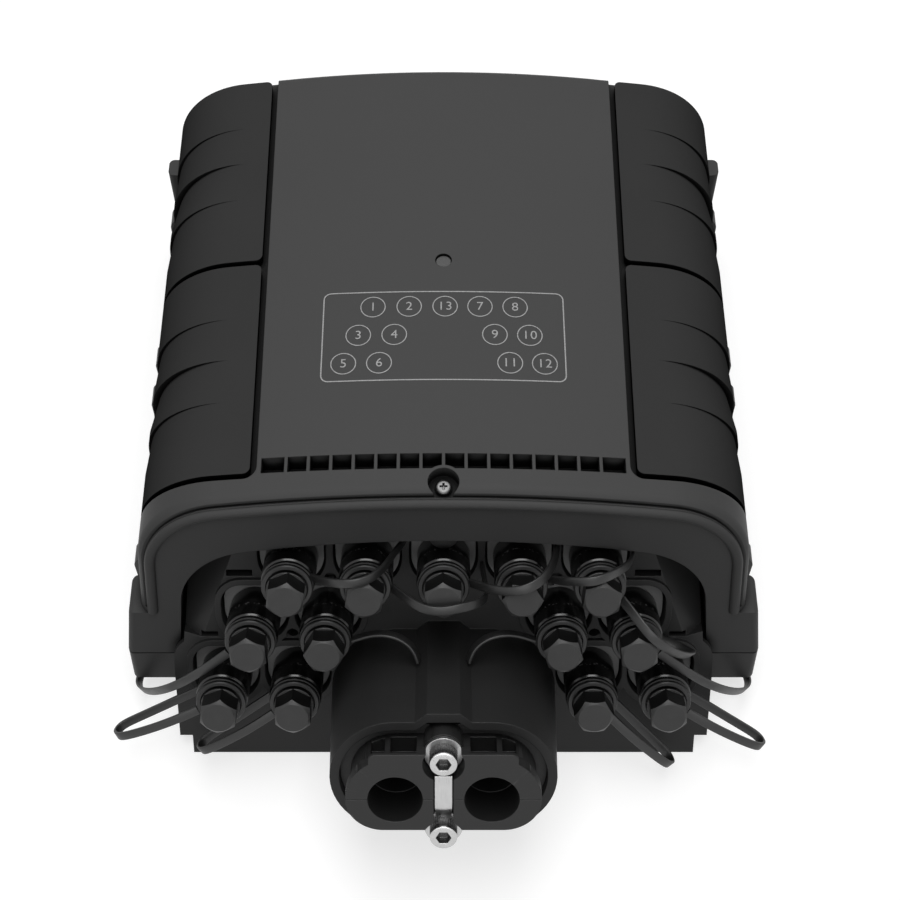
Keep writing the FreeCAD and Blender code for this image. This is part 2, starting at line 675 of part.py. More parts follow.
TO_RIM = [(8.3, -5.8, 20.3), (11.5, -8, 25), (15, -11.2, 29.8), (19, -15, 32.4), (23.3, -19.4, 31.4),
          (28, -24.3, 28), (32.6, -28.6, 23.3), (36, -31.8, 18), (37, -34.6, 12.5), (34.8, -35.6, 8.4),
          (30.5, -34.9, 5), (26.2, -34.1, 3.7)]
TO_SLEEVE = [(10.1, 0.2, 20.3), (15.8, 3, 21), (22.2, 4.2, 22), (29, 2.6, 23), (33.8, -1.9, 24),
             (35, -6.8, 24.6)]
UNDER_FOOT = [(8.6, -5.4, 20.3), (14.9, -11.5, 18.5), (21.6, -18.5, 15), (30.6, -27.1, 10), (38.6, -34.7, 3),
              (45.6, -41.9, -6.5), (50.3, -45.4, -13.7), (52, -44.8, -18.8), (49.3, -40, -23.5),
              (46.4, -34.9, -23.8)]
EDGEWISE = (4, 9)


def loop_at(angle, loop):
    """A loop's points, turned to an angle round the port axis."""
    c, s = math.cos(math.radians(angle)), math.sin(math.radians(angle))
    return [(r * c, r * s, t) for r, t in loop]


STRAPS = {
    1: HOOD_LEFT,
    2: ACROSS_MIDDLE,
    3: [(-x, s, t) for x, s, t in UNDER_FOOT],
    4: TO_SLEEVE,
    5: loop_at(205, SIDE_LOOP),
    6: loop_at(215, SIDE_LOOP),
    7: HOOD_RIGHT,
    8: TO_RIM,
    9: [(-x, s, t) for x, s, t in TO_SLEEVE],
    10: UNDER_FOOT,
    11: loop_at(314, SIDE_LOOP),
    12: loop_at(328, SIDE_LOOP),
    13: HOOD_MIDDLE,
}


def strap(number):
    """A flat band along straight runs and tangent arcs, each arc as large as its runs allow."""
    points = [vec(*p) for p in STRAPS[number]]
    runs = [b - a for a, b in zip(points, points[1:])]
    ahead = [vec(r.x, r.y, r.z).normalize() for r in runs]
    wide = Z_AXIS if number in EDGEWISE else vec(-points[0].y, points[0].x, 0).normalize()
    wide = (wide - ahead[0] * wide.dot(ahead[0])).normalize()
    pieces, radii, length, start = [], [], 0.0, points[0]
    for k, direction in enumerate(ahead):
        flat = direction.cross(wide)
        corners = [
            start + wide * (a * STRAP_WIDTH / 2) + flat * (b * STRAP_THICK / 2)
            for a, b in ((-1, -1), (1, -1), (1, 1), (-1, 1))
        ]
        last = k == len(ahead) - 1
        turn = 0.0 if last else direction.getAngle(ahead[k + 1])
        radius = 0.0 if last else 0.45 * min(runs[k].Length, runs[k + 1].Length) / math.tan(turn / 2)
        end = points[k + 1] - direction * (radius * math.tan(turn / 2))
        pieces.append(plate(corners, end - start))
        length += (end - start).Length
        if last:
            break
        axis = direction.cross(ahead[k + 1]).normalize()
        centre = end + axis.cross(direction) * radius
        section = Part.Face(Part.makePolygon([c + (end - start) for c in corners + corners[:1]]))
        pieces.append(section.revolve(centre, axis, math.degrees(turn)))
        radii.append(radius)
        length += radius * turn
        turned = FreeCAD.Rotation(axis, math.degrees(turn))
        start = centre + turned.multVec(end - centre)
        wide = turned.multVec(wide)
    band = pieces[0].multiFuse(pieces[1:]).removeSplitter()
    share = band.Volume / (STRAP_WIDTH * STRAP_THICK * length)
    bends = [round(r, 1) for r in radii]
    print(f"strap {number}: length {length:.1f}, volume share {share:.3f}, radii", bends)
    return band


# Cable sleeve and gland, about the middle of the two cable holes

def stadium_wire(r, t):
    """Two half circles about the cable holes, joined by straight lines."""
    c = CABLE_SPACING / 2
    return Part.Wire(
        [
            Part.Arc(vec(c, -r, t), vec(c + r, 0, t), vec(c, r, t)).toShape(),
            Part.LineSegment(vec(c, r, t), vec(-c, r, t)).toShape(),
            Part.Arc(vec(-c, r, t), vec(-c - r, 0, t), vec(-c, -r, t)).toShape(),
            Part.LineSegment(vec(-c, -r, t), vec(c, -r, t)).toShape(),
        ]
    )


def stadium(r, t0, t1):
    return Part.Face(stadium_wire(r, t0)).extrude(vec(0, 0, t1 - t0))


def hump_wire(r, t, grow=0.0):
    """The raised middle of the sleeve's top, which leaves room for the upper screw."""
    top = r + SLEEVE_HUMP + grow
    low = -r / 2
    points = [
        vec(-HUMP_ROOT_HALF - grow, low, t),
        vec(HUMP_ROOT_HALF + grow, low, t),
        vec(HUMP_ROOT_HALF + grow, r, t),
        vec(HUMP_TOP_HALF + grow, top, t),
        vec(-HUMP_TOP_HALF - grow, top, t),
        vec(-HUMP_ROOT_HALF - grow, r, t),
    ]
    return Part.makePolygon(points + points[:1])


def sleeve():
    """The tapered oval sleeve that the cable gland sits in."""
    start = -POCKET_DEPTH
    slope = (SLEEVE_ROOT_R - SLEEVE_RIM_R) / SLEEVE_END
    root = SLEEVE_RIM_R + slope * (SLEEVE_END - start)
    body = Part.makeLoft([stadium_wire(root, start), stadium_wire(SLEEVE_RIM_R, SLEEVE_END)], True, True)
    hump = Part.makeLoft([hump_wire(root, start), hump_wire(SLEEVE_RIM_R, SLEEVE_END)], True, True)
    return body.fuse(hump).removeSplitter()


def sleeve_bore(t0):
    """The sleeve's inside, from a depth to beyond its rim."""
    r = SLEEVE_RIM_R - SLEEVE_WALL
    round_part = stadium(r, t0, SLEEVE_END + 1)
    grow = SLEEVE_WALL * (math.sqrt(2) - 1) - SLEEVE_WALL / 2
    hump = Part.Face(hump_wire(r, t0, grow)).extrude(vec(0, 0, SLEEVE_END + 1 - t0))
    return round_part.fuse(hump).removeSplitter()


def cable_holes(r, t0, t1):
    c = CABLE_SPACING / 2
    return [Part.makeCylinder(r, t1 - t0, vec(x, 0, t0)) for x in (-c, c)]


def cable_seal():
    """The rubber block with the two cable holes, in the bottom of the sleeve."""
    block = stadium(SLEEVE_RIM_R - SLEEVE_WALL - GLAND_CLEARANCE, SEAL_START, SEAL_START + SEAL_LENGTH)
    return block.cut(cable_holes(CABLE_R, SEAL_START, SEAL_START + SEAL_LENGTH))


def gland_outline(inset, t0, t1):
    """The gland's oval: round ends above the cable holes, flatter ones below them."""
    upper = stadium(GLAND_R - inset, t0, t1).common(box((-BIG, 0, t0), (BIG, BIG, t1)))
    r = GLAND_BOTTOM - inset
    x = CABLE_SPACING / 2 + GLAND_R - GLAND_BOTTOM
    ends = [Part.makeCylinder(r, t1 - t0, vec(side, 0, t0)) for side in (-x, x)]
    lower = box((-x, -r, t0), (x, 0, t1)).multiFuse(ends).common(box((-BIG, -BIG, t0), (BIG, 0, t1)))
    return upper.fuse(lower).removeSplitter()


def bar_profile(lift, thick, half):
    """The bent strap's course from screw to screw, its underside raised by lift, as a bar of one thickness."""
    (upper_knee, upper_foot), (lower_knee, lower_foot) = BAR_UPPER_BEND, BAR_LOWER_BEND
    low = BAR_SEAT + lift
    course = [
        (-LOWER_SCREW_S, low),
        (lower_foot, low),
        (lower_knee, low + BAR_RISE),
        (upper_knee, low + BAR_RISE),
        (upper_foot, low),
        (UPPER_SCREW_S, low),
    ]
    under = [vec(-half, s, t) for s, t in course]
    over = [vec(-half, s, t + thick) for s, t in reversed(course)]
    outline = Part.makePolygon(under + over + under[:1])
    return Part.Face(outline).extrude(vec(2 * half, 0, 0))


def gland_halves():
    """The gland's two clamp plates, split across the cable holes, with their screw bosses."""
    start = SEAL_START + SEAL_LENGTH + GLAND_CLEARANCE
    body = gland_outline(GLAND_R - GLAND_BODY_R, start, GLAND_FACE)
    front = gland_outline(0, GLAND_FACE - GLAND_PLATE, GLAND_FACE)
    crown_low = (-CABLE_SPACING / 2, 0, GLAND_FACE - GLAND_PLATE)
    front = front.fuse(box(crown_low, (CABLE_SPACING / 2, GLAND_TOP, GLAND_FACE)))
    boss_end = BAR_SEAT - BAR_GAP
    upper_boss = Part.makeCylinder(BOSS_R, boss_end - start, vec(0, UPPER_SCREW_S, start))
    lower_boss = Part.makeCylinder(BOSS_R, LOWER_BOSS, vec(0, -LOWER_SCREW_S, boss_end - LOWER_BOSS))
    pockets = []
    for near, far in zip(GLAND_RIBS, GLAND_RIBS[1:]):
        low = (near + GLAND_RIB / 2, GLAND_BODY_R - GLAND_POCKET_DEPTH, start + GLAND_RIB)
        high = (far - GLAND_RIB / 2, BIG, GLAND_FACE - GLAND_PLATE)
        pockets += both_sides(box(low, high))
    block = body.multiFuse([front, upper_boss, lower_boss])
    places = (UPPER_SCREW_S, -LOWER_SCREW_S)
    screws = [Part.makeCylinder(M6_R + M6_CLEARANCE, BIG, vec(0, s, 0)) for s in places]
    seats = [Part.makeCylinder(BAR_EYE_R + BAR_ROOM, BIG, vec(0, s, boss_end)) for s in places]
    channel = bar_profile(-BAR_GAP, BIG, BAR_WIDTH / 2 + BAR_ROOM)
    block = block.cut(cable_holes(CABLE_R + GLAND_CLEARANCE, 0, BIG) + pockets + screws + seats)
    block = block.cut(channel).removeSplitter()
    split = GLAND_CLEARANCE / 2
    upper = block.common(box((-BIG, split, 0), (BIG, BIG, BIG)))
    lower = block.common(box((-BIG, -BIG, 0), (BIG, -split, BIG)))
    return upper, lower


def tie_bar():
    """The dog-bone steel strap, bent back to an eye under each screw, that ties the gland halves."""
    places = (UPPER_SCREW_S, -LOWER_SCREW_S)
    bar = bar_profile(0, BAR_THICK, BAR_WIDTH / 2)
    eyes = [Part.makeCylinder(BAR_EYE_R, BAR_THICK, vec(0, s, BAR_SEAT)) for s in places]
    holes = [Part.makeCylinder(M6_R + M6_CLEARANCE, BIG, vec(0, s, 0)) for s in places]
    return bar.multiFuse(eyes).cut(holes).removeSplitter()


def gland_screw():
    """A socket-head screw on an eye of the tie bar."""
    t = BAR_SEAT + BAR_THICK
    head = Part.makeCylinder(M6_HEAD_R, M6_HEAD, vec(0, 0, t))
    shank = Part.makeCylinder(M6_R, M6_LENGTH, vec(0, 0, t - M6_LENGTH))
    return head.fuse(shank).cut(hexagon(M6_SOCKET_FLATS, t + M6_HEAD - M6_SOCKET_DEPTH, M6_SOCKET_DEPTH))


# Rear housing

def rounded_slab(half, y0, y1, z0, z1, corner):
    """A slab with round far corners."""
    slab = box((-half, y0, z0), (half, y1, z1))
    far = [e for e in slab.Edges if e.BoundBox.ZLength > 1 and e.BoundBox.YMin > y1 - 1]
    return slab.makeFillet(corner, far)


def behind_panel(t=0.0):
    """Everything behind the panel plane, moved out along the ports by t."""
    return on_panel(box((-BIG, -BIG, -BIG), (BIG, BIG, 0)), t=t)


def port_block():
    """The plug that carries the ports: it fills the mouth of the hood and steps out below it."""
    plug = arch(MOUTH, MOUTH_GAP, 0, -BIG / 2, MOUTH_END_Y)
    plug = plug.cut(box((-BIG, -BIG, -BIG), (BIG, front_y(FLANGE_Z), 0)))
    tier_high = on_panel(Part.Vertex(0, TIER_TOP, 0)).Point
    z = tier_high.z
    outline = [
        vec(-TIER_HALF, PANEL_Y, 0),
        vec(-TIER_HALF, tier_high.y, z),
        vec(-TIER_HALF, front_y(z) - TIER_GAP, z),
        vec(-TIER_HALF, front_y(0) - TIER_GAP, 0),
    ]
    tier = plate(outline, vec(2 * TIER_HALF, 0, 0))
    outline_block = box((-TIER_HALF, -BIG, -BIG / 2), (TIER_HALF, TIER_TOP, BIG / 2))
    corners = [e for e in outline_block.Edges if e.BoundBox.ZLength > 1 and e.BoundBox.YMin > 0]
    tier = tier.common(on_panel(outline_block.makeFillet(TIER_CORNER, corners)))
    block = plug.common(behind_panel()).fuse(tier)
    notch = on_panel(box((TIER_HALF - TIER_NOTCH, -BIG, -BIG / 10), (BIG, TIER_NOTCH_UP, BIG)))
    return block.cut(both_sides(notch) + both_sides(shoulder()))


def shoulder():
    """The slanted space cut off the plug's right shoulder beside the upper ports."""
    low = vec(MOUTH_HALF - SHOULDER_LOW_INSET, SHOULDER_LOW_S)
    high = vec(MOUTH_HALF - SHOULDER_HIGH_INSET, SHOULDER_HIGH_S)
    along = (high - low).normalize()
    outward = vec(along.y, -along.x, 0)
    angle = math.radians(SHOULDER_ANGLE)
    down = outward * math.cos(angle) - Z_AXIS * math.sin(angle)
    turned = FreeCAD.Rotation(along, down, along.cross(down), "XYZ")
    space = box((0, -BIG / 2, -BIG), (BIG, BIG / 2, 0))
    space.Placement = FreeCAD.Placement(low, turned)
    return on_panel(space)


def rear_housing():
    tub = rounded_slab(TUB_HALF, front_y(0) + 1, TUB_REAR_Y, 0, FLANGE_TOP, TUB_CORNER)
    bottom = [e for e in tub.Edges if e.BoundBox.ZMax < 0.1 and e.BoundBox.YMax > 0]
    tub = tub.makeFillet(BACK_FILLET, bottom)
    flange = rounded_slab(COVER_HALF, FLANGE_NEAR_Y, FAR_EAR_END, FLANGE_Z, FLANGE_TOP, FLANGE_CORNER)
    solids = [flange, port_block()] + both_sides(ear(FLANGE_Z, FLANGE_TOP, 0))
    solids += both_sides(far_ear(FLANGE_Z, FLANGE_TOP, 0))
    for lug in hinge_lugs():
        solids += both_sides(lug)
    housing = tub.multiFuse(solids)

    rims = []
    cuts = []
    for x, s in ports().values():
        if s < ROW_TOP_S:
            rims.append(on_panel(shield(BEZEL_WIDTH, -1, BEZEL_HEIGHT + 1), x, s))
        cuts.append(on_panel(shield(0, -POCKET_DEPTH, BIG), x, s))
    upper_drain = (1.5 * PORT_PITCH, (ROW_TOP_S + ROW_MIDDLE_S) / 2 + UPPER_DRAIN_RISE)
    lower_drain = (ROW_MIDDLE_X + LOWER_PITCH / 2, ROW_MIDDLE_S - LOWER_DRAIN_DROP)
    for x, s in (upper_drain, lower_drain):
        cuts += both_sides(on_panel(Part.makeCylinder(DRAIN_R, BIG, vec(0, 0, -DRAIN_DEPTH)), x, s))
    for x0, x1, s0, s1 in (MIDDLE_SLOT, LOW_SLOT):
        cuts += both_sides(on_panel(box((x0, s0, -PANEL_SLOT_DEPTH), (x1, s1, BIG))))
    housing = housing.multiFuse(rims).cut(cuts)

    inner = TUB_HALF - TUB_WALL
    cavity = rounded_slab(inner, MOUTH_END_Y, TUB_REAR_Y - TUB_WALL, TUB_FLOOR, BIG, TUB_CORNER - TUB_WALL)
    wall = POCKET_DEPTH + POCKET_FLOOR
    block_hollow = arch(MOUTH, MOUTH_GAP + TUB_WALL, TUB_FLOOR, -BIG / 2, MOUTH_END_Y + 1)
    housing = housing.cut([cavity, block_hollow.common(behind_panel(-wall))])
    housing = housing.fuse(on_panel(sleeve(), s=CABLE_S).common(box((-BIG, -BIG, 0), (BIG, BIG, BIG))))
    above_floor = box((-BIG, -BIG, TUB_FLOOR), (BIG, BIG, BIG))
    through = [on_panel(sleeve_bore(-wall - OVERCUT), s=CABLE_S).common(above_floor)]
    for x, s in ports().values():
        hole = Part.makeCylinder(SPIGOT_R + SPIGOT_CLEARANCE, wall + 2 * OVERCUT, vec(0, 0, -wall - OVERCUT))
        through.append(on_panel(hole.common(box((-BIG, -BIG, -BIG), (BIG, BIG, -POCKET_DEPTH / 2))), x, s))

    bosses = []
    pits = []
    for x in (-INSERT_SPACING_X / 2, INSERT_SPACING_X / 2):
        for y in (-INSERT_SPACING_Y / 2, INSERT_SPACING_Y / 2):
            wall = INSERT_BOSS_WALL
            bosses.append(Part.makeCylinder(INSERT_R + wall, INSERT_LENGTH + wall, vec(x, y, 0)))
            pits.append(Part.makeCylinder(INSERT_R, INSERT_LENGTH, vec(x, y, 0)))
    for x in (-POST_SPACING_X / 2, POST_SPACING_X / 2):
        for y in (-POST_SPACING_Y / 2, POST_SPACING_Y / 2):
            bosses.append(Part.makeCylinder(POST_R, TRAY_Z, vec(x, TRAY_Y + y, 0)))
    channel = gasket_ring(GASKET_DEPTH, FLANGE_TOP - GASKET_DEPTH)
    return housing.multiFuse(bosses).cut(through + pits + [channel]).removeSplitter()


def gasket_ring(height, z):
    """A flat ring on the flange, open towards the mouth."""
    half = COVER_HALF - GASKET_INSET
    far = FAR_EAR_END - 2 * GASKET_INSET
    width = GASKET_WIDTH
    outer = rounded_slab(half, MOUTH_END_Y - 2, far, z, z + height, TUB_CORNER + width)
    inner = rounded_slab(half - width, MOUTH_END_Y - 3, far - width, z - 1, z + height + 1, TUB_CORNER)
    return outer.cut(inner)


def cover_gasket():
    """The rubber seal in the flange's channel."""
    return gasket_ring(GASKET_DEPTH + SEAM_GAP, FLANGE_TOP - GASKET_DEPTH)


def wall_inserts():
    """Threaded inserts for the wall or pole bracket, flush with the back face."""
    inserts = []
    for x in (-INSERT_SPACING_X / 2, INSERT_SPACING_X / 2):
        for y in (-INSERT_SPACING_Y / 2, INSERT_SPACING_Y / 2):
            outer = Part.makeCylinder(INSERT_R, INSERT_LENGTH, vec(x, y, 0))
            inserts.append(outer.cut(Part.makeCylinder(INSERT_BORE_R, INSERT_LENGTH, vec(x, y, 0))))
    return Part.makeCompound(inserts)


# Inside

def splice_tray():
    """The tray for splices and spare fibre, on the posts of the housing."""
    def rounded(inset, z0, z1):
        half = TRAY_WIDTH / 2 - inset
        low = TRAY_Y - TRAY_LENGTH / 2 + inset
        high = TRAY_Y + TRAY_LENGTH / 2 - inset
        slab = box((-half, low, z0), (half, high, z1))
        return slab.makeFillet(TRAY_CORNER - inset, [e for e in slab.Edges if e.BoundBox.ZLength > 1])

    return rounded(0, TRAY_Z, TRAY_Z + TRAY_HEIGHT).cut(rounded(TRAY_WALL, TRAY_Z + TRAY_WALL, BIG))


def splitter_module():
    """The splitter's flat box, on the floor under the tray."""
    low = (-SPLITTER_WIDTH / 2, TRAY_Y - SPLITTER_LENGTH / 2, TUB_FLOOR)
    high = (SPLITTER_WIDTH / 2, TRAY_Y + SPLITTER_LENGTH / 2, TUB_FLOOR + SPLITTER_HEIGHT)
    return box(low, high)


def nodes():
    """Every piece by its name."""
    upper, lower = gland_halves()
    parts = {
        "rear_housing": rear_housing(),
        "front_cover": front_cover(),
        "cover_gasket": cover_gasket(),
        "cover_screw": cover_screw(),
        "lock_screw": lock_screw(),
        "latch_pins": latch_pins(),
        "wall_inserts": wall_inserts(),
        "splice_tray": splice_tray(),
        "splitter_module": splitter_module(),
        "cable_seal": on_panel(cable_seal(), s=CABLE_S),
        "gland_plate_upper": on_panel(upper, s=CABLE_S),
        "gland_plate_lower": on_panel(lower, s=CABLE_S),
        "tie_bar": on_panel(tie_bar(), s=CABLE_S),
        "gland_screws": Part.makeCompound(
            [on_panel(gland_screw(), s=CABLE_S + s) for s in (UPPER_SCREW_S, -LOWER_SCREW_S)]
        ),
        "port_adapters": Part.makeCompound([on_panel(port_adapter(), x, s) for x, s in ports().values()]),
        "adapter_nuts": Part.makeCompound([on_panel(adapter_nut(), x, s) for x, s in ports().values()]),
    }
    for end, span in latch_spans().items():
        wing = latch(*span)
        parts[f"latch_right_{end}"] = wing
        parts[f"latch_left_{end}"] = mirrored(wing)
    for number, (x, s) in sorted(ports().items()):
        parts[f"dust_cap_{number:02d}"] = on_panel(dust_cap(number in CAP_FLAT_UP), x, s)
        parts[f"cap_strap_{number:02d}"] = on_panel(strap(number), x, s)
    return parts


os.makedirs("parts", exist_ok=True)
for name, shape in nodes().items():
    solids = shape.Solids
    print(name, len(solids), "solids, volume", round(sum(s.Volume for s in solids)), "valid", shape.isValid())
    shape.exportStep(f"parts/{name}.step")
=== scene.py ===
import math

import bpy
from mathutils import Matrix, Vector


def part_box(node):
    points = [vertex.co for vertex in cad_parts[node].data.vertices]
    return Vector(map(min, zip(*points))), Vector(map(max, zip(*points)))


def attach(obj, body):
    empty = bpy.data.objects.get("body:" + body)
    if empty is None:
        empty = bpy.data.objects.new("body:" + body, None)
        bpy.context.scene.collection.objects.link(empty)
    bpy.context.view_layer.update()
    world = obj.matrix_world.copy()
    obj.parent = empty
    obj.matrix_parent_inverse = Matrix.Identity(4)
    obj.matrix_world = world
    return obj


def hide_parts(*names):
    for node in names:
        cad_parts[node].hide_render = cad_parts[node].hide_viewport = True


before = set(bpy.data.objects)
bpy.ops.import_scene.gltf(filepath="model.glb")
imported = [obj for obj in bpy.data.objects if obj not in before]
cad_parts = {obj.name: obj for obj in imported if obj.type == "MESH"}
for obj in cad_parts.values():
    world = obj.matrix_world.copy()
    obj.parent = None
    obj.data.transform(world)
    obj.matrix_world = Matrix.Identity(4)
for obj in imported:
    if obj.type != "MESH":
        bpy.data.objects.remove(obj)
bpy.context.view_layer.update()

# Rear housing: the deep tub that the box is built on, with the sloping port panel, the pockets round
# the ports and the oval cable sleeve. One moulding in black glass-filled plastic with a fine spark
# grain, screwed to its bracket by four inserts in the back.


class Value:
    """A socket of a finish. Arithmetic on it adds Math nodes."""

    def __init__(self, finish, socket):
        self.finish = finish
        self.socket = socket

    def math(self, operation, *terms):
        return self.finish.node("ShaderNodeMath", {"operation": operation}, dict(enumerate(terms)))

    def __add__(self, other):
        return self.math("ADD", self, other)

    def __sub__(self, other):
        return self.math("SUBTRACT", self, other)

    def __rsub__(self, other):
        return self.math("SUBTRACT", other, self)

    def __mul__(self, other):
        return self.math("MULTIPLY", self, other)

    __radd__ = __add__
    __rmul__ = __mul__

    def step(self, low, high):
        """0 below low, 1 above high, smooth between."""
        sockets = {"Value": self, "From Min": low, "From Max": high}
        return self.finish.node("ShaderNodeMapRange", {"interpolation_type": "SMOOTHSTEP"}, sockets)


class Finish:
    """A material on Object coordinates. node() adds any node, and sockets take values or numbers."""

    def __init__(self, name, **sockets):
        self.material = bpy.data.materials.new(name)
        self.material.use_nodes = True
        self.tree = self.material.node_tree
        self.shader = self.tree.nodes["Principled BSDF"]
        self.place = self.node("ShaderNodeTexCoord", output="Object")
        self.set(sockets)

    def node(self, kind, settings=None, sockets=None, output=0):
        made = self.tree.nodes.new(kind)
        for name, setting in (settings or {}).items():
            setattr(made, name, setting)
        for name, value in (sockets or {}).items():
            self.join(value, made.inputs[name])
        return Value(self, made.outputs[output])

    def join(self, value, socket):
        if isinstance(value, Value):
            self.tree.links.new(value.socket, socket)
        else:
            socket.default_value = value

    def set(self, sockets):
        for name, value in sockets.items():
            self.join(value, self.shader.inputs[name.replace("_", " ")])

    def noise(self, size, detail=2.0, vector=None):
        """Uneven cloud whose lumps are about that many metres across."""
        sockets = {"Vector": vector or self.place, "Scale": 1 / size, "Detail": detail}
        return self.node("ShaderNodeTexNoise", None, sockets)

    def blend(self, factor, low, high):
        """Colour that goes from low to high with the factor."""
        settings = {"data_type": "RGBA"}
        return self.node("ShaderNodeMix", settings, {0: factor, 6: low, 7: high}, output=2)

    def along(self, direction, vector=None):
        """How far a point, or another vector, reaches along a direction."""
        settings = {"operation": "DOT_PRODUCT"}
        sockets = {0: vector or self.place, 1: direction}
        return self.node("ShaderNodeVectorMath", settings, sockets, output="Value")

    def soft_edges(self, radius):
        """The normal of the surface with its edges rounded to that radius."""
        return self.node("ShaderNodeBevel", {"samples": 6}, {"Radius": radius})

    def bump(self, height, depth, normal):
        """A relief of that depth in metres, laid over a normal."""
        sockets = {"Height": height, "Distance": depth, "Normal": normal}
        self.set({"Normal": self.node("ShaderNodeBump", None, sockets)})


def grey(level):
    """A neutral colour, as a linear level."""
    return (level, level, level, 1.0)


CLOUD_SIZE = 0.035
GRAIN_DEPTH = 0.00003
# Painted shade in gaps and recesses: the openness over which it fades in, and its tone as a share of the
# plastic's level.
PAINTED_SHADE_OPENNESS = (0.45, 0.92)
PAINTED_SHADE_TONE = 0.06


def moulded(name, level, gloss, grain=0.0004, edge=0.0005, cloudy=0.18, sheen=0.5, shade_reach=0.0):
    """Moulded plastic: spark grain, uneven gloss, a faintly cloudy colour and, where asked, painted shade
    in gaps and recesses.
    """
    finish = Finish(name, Specular_IOR_Level=sheen)
    cloud = finish.noise(CLOUD_SIZE, 3.0)
    fine = finish.noise(grain, 2.0)
    shade = cloud * 0.7 + fine * 0.3
    colour = finish.blend(shade, grey(level * (1 - cloudy)), grey(level * (1 + cloudy)))
    # Where a reach is given, an ambient occlusion mask darkens the colour towards black in gaps, recesses
    # and concave corners: painted shade.
    if shade_reach:
        reach = {"Distance": shade_reach}
        open_air = finish.node("ShaderNodeAmbientOcclusion", {"samples": 8}, reach, output="AO")
        colour = finish.blend(open_air.step(*PAINTED_SHADE_OPENNESS), grey(level * PAINTED_SHADE_TONE), colour)
    finish.set({"Base Color": colour})
    finish.set({"Roughness": gloss + (cloud - 0.5) * 0.12 + (fine - 0.5) * 0.14})
    finish.bump(fine, GRAIN_DEPTH, finish.soft_edges(edge))
    return finish


def dress(finish, *names):
    """Gives CAD nodes a finish."""
    for name in names:
        for material_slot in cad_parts[name].material_slots:
            material_slot.material = finish.material


housing_black = moulded("housing_black", 0.014, 0.48, sheen=0.22)
dress(housing_black, "rear_housing")

# Bracket inserts: four brass bushes moulded into bosses in the back of the housing.
# Turned, with a bright cut end and a slightly dull bore.

turned_brass = Finish("turned_brass", Metallic=1.0)
lathe_lines = turned_brass.noise(0.0005, 3.0)
brass_tones = (0.44, 0.29, 0.10, 1), (0.60, 0.43, 0.18, 1)
turned_brass.set({"Base Color": turned_brass.blend(lathe_lines, *brass_tones)})
turned_brass.set({"Roughness": 0.26 + lathe_lines * 0.2})
turned_brass.bump(lathe_lines, 0.00002, turned_brass.soft_edges(0.0003))
dress(turned_brass, "wall_inserts")

# Splice tray and splitter: the pale moulded tray for the fibre splices and the flat splitter cassette
# beside it, both held inside the closed box.

tray_white = moulded("tray_white", 0.42, 0.42, cloudy=0.05)
dress(tray_white, "splice_tray", "splitter_module")

# Port adapters: thirteen hard black adapters pushed through the panel from the front and held by a nut
# behind it. The barrel is polished, the shield-shaped flange at its root is a dull paler grey.

PORT_TILT = math.radians(32.0)
PANEL_FOOT = (0, -0.126, 0)
PANEL = Matrix.Translation(PANEL_FOOT) @ Matrix.Rotation(math.pi / 2 - PORT_TILT, 4, "X")
PORT_AXIS = PANEL.to_3x3() @ Vector((0, 0, 1))
FLANGE_FACE = -0.0019
FLANGE_FADE = 0.0006
FLANGE_TONE, BARREL_TONE = 0.1, 0.002
BARREL_BAND = (0.0092, 0.0108)
BAND_FADE = 0.0002
DOTS_PER_METRE = 800


def above_panel(finish):
    """Height over the plane of the port panel, in metres."""
    return finish.along(tuple(PORT_AXIS)) - PORT_AXIS.dot(PANEL.translation)


adapter_black = Finish("adapter_black", IOR=1.5)
height = above_panel(adapter_black)
barrel = height.step(FLANGE_FACE, FLANGE_FACE + FLANGE_FADE)
band = height.step(BARREL_BAND[0], BARREL_BAND[0] + BAND_FADE)
band = band * (1 - height.step(BARREL_BAND[1] - BAND_FADE, BARREL_BAND[1]))
sockets = {"Vector": adapter_black.place, "Scale": DOTS_PER_METRE}
dots = adapter_black.node("ShaderNodeTexVoronoi", None, sockets)
speck = band * (1 - dots.step(0.25, 0.45)) * 0.5
smear = adapter_black.noise(0.006, 3.0)
adapter_black.set({
    "Base Color": adapter_black.blend(barrel * (1 - speck), grey(FLANGE_TONE), grey(BARREL_TONE)),
    "Roughness": 0.5 - barrel * 0.28 + (smear - 0.5) * 0.12,
})
adapter_black.bump(speck, 0.0001, adapter_black.soft_edges(0.0004))
dress(adapter_black, "port_adapters")
dress(housing_black, "adapter_nuts")

# Dust caps: thirteen push-in caps with a hexagon to turn them by, a thin ring under it, and an open
# collar that closes the end of the barrel. Moulded in black plastic, each turned to its own stop.

# MM turns millimetres into metres. Corners within TOUCH metres of a place are at it, corners within
# WELD millimetres of each other become one, and a tool reaches OVERCUT millimetres past what it cuts.

MM = 0.001
TOUCH = 1e-6
WELD = 0.001
OVERCUT = 1.0
ROUND_SIDES = 72

TOP_PITCH, LOWER_PITCH = 28.8, 28.0
TOP_ROW, MIDDLE_ROW, LOW_ROW = 90.3, 66.6, 39.3
MIDDLE_X, LOW_X = 44.3, 56.8
PORTS = {
    1: (-2 * TOP_PITCH, TOP_ROW),
    2: (-TOP_PITCH, TOP_ROW),
    3: (-MIDDLE_X - LOWER_PITCH, MIDDLE_ROW),
    4: (-MIDDLE_X, MIDDLE_ROW),
    5: (-LOW_X - LOWER_PITCH, LOW_ROW),
    6: (-LOW_X, LOW_ROW),
    7: (TOP_PITCH, TOP_ROW),
    8: (2 * TOP_PITCH, TOP_ROW),
    9: (MIDDLE_X, MIDDLE_ROW),
    10: (MIDDLE_X + LOWER_PITCH, MIDDLE_ROW),
    11: (LOW_X, LOW_ROW),
    12: (LOW_X + LOWER_PITCH, LOW_ROW),
    13: (0.0, TOP_ROW),
}
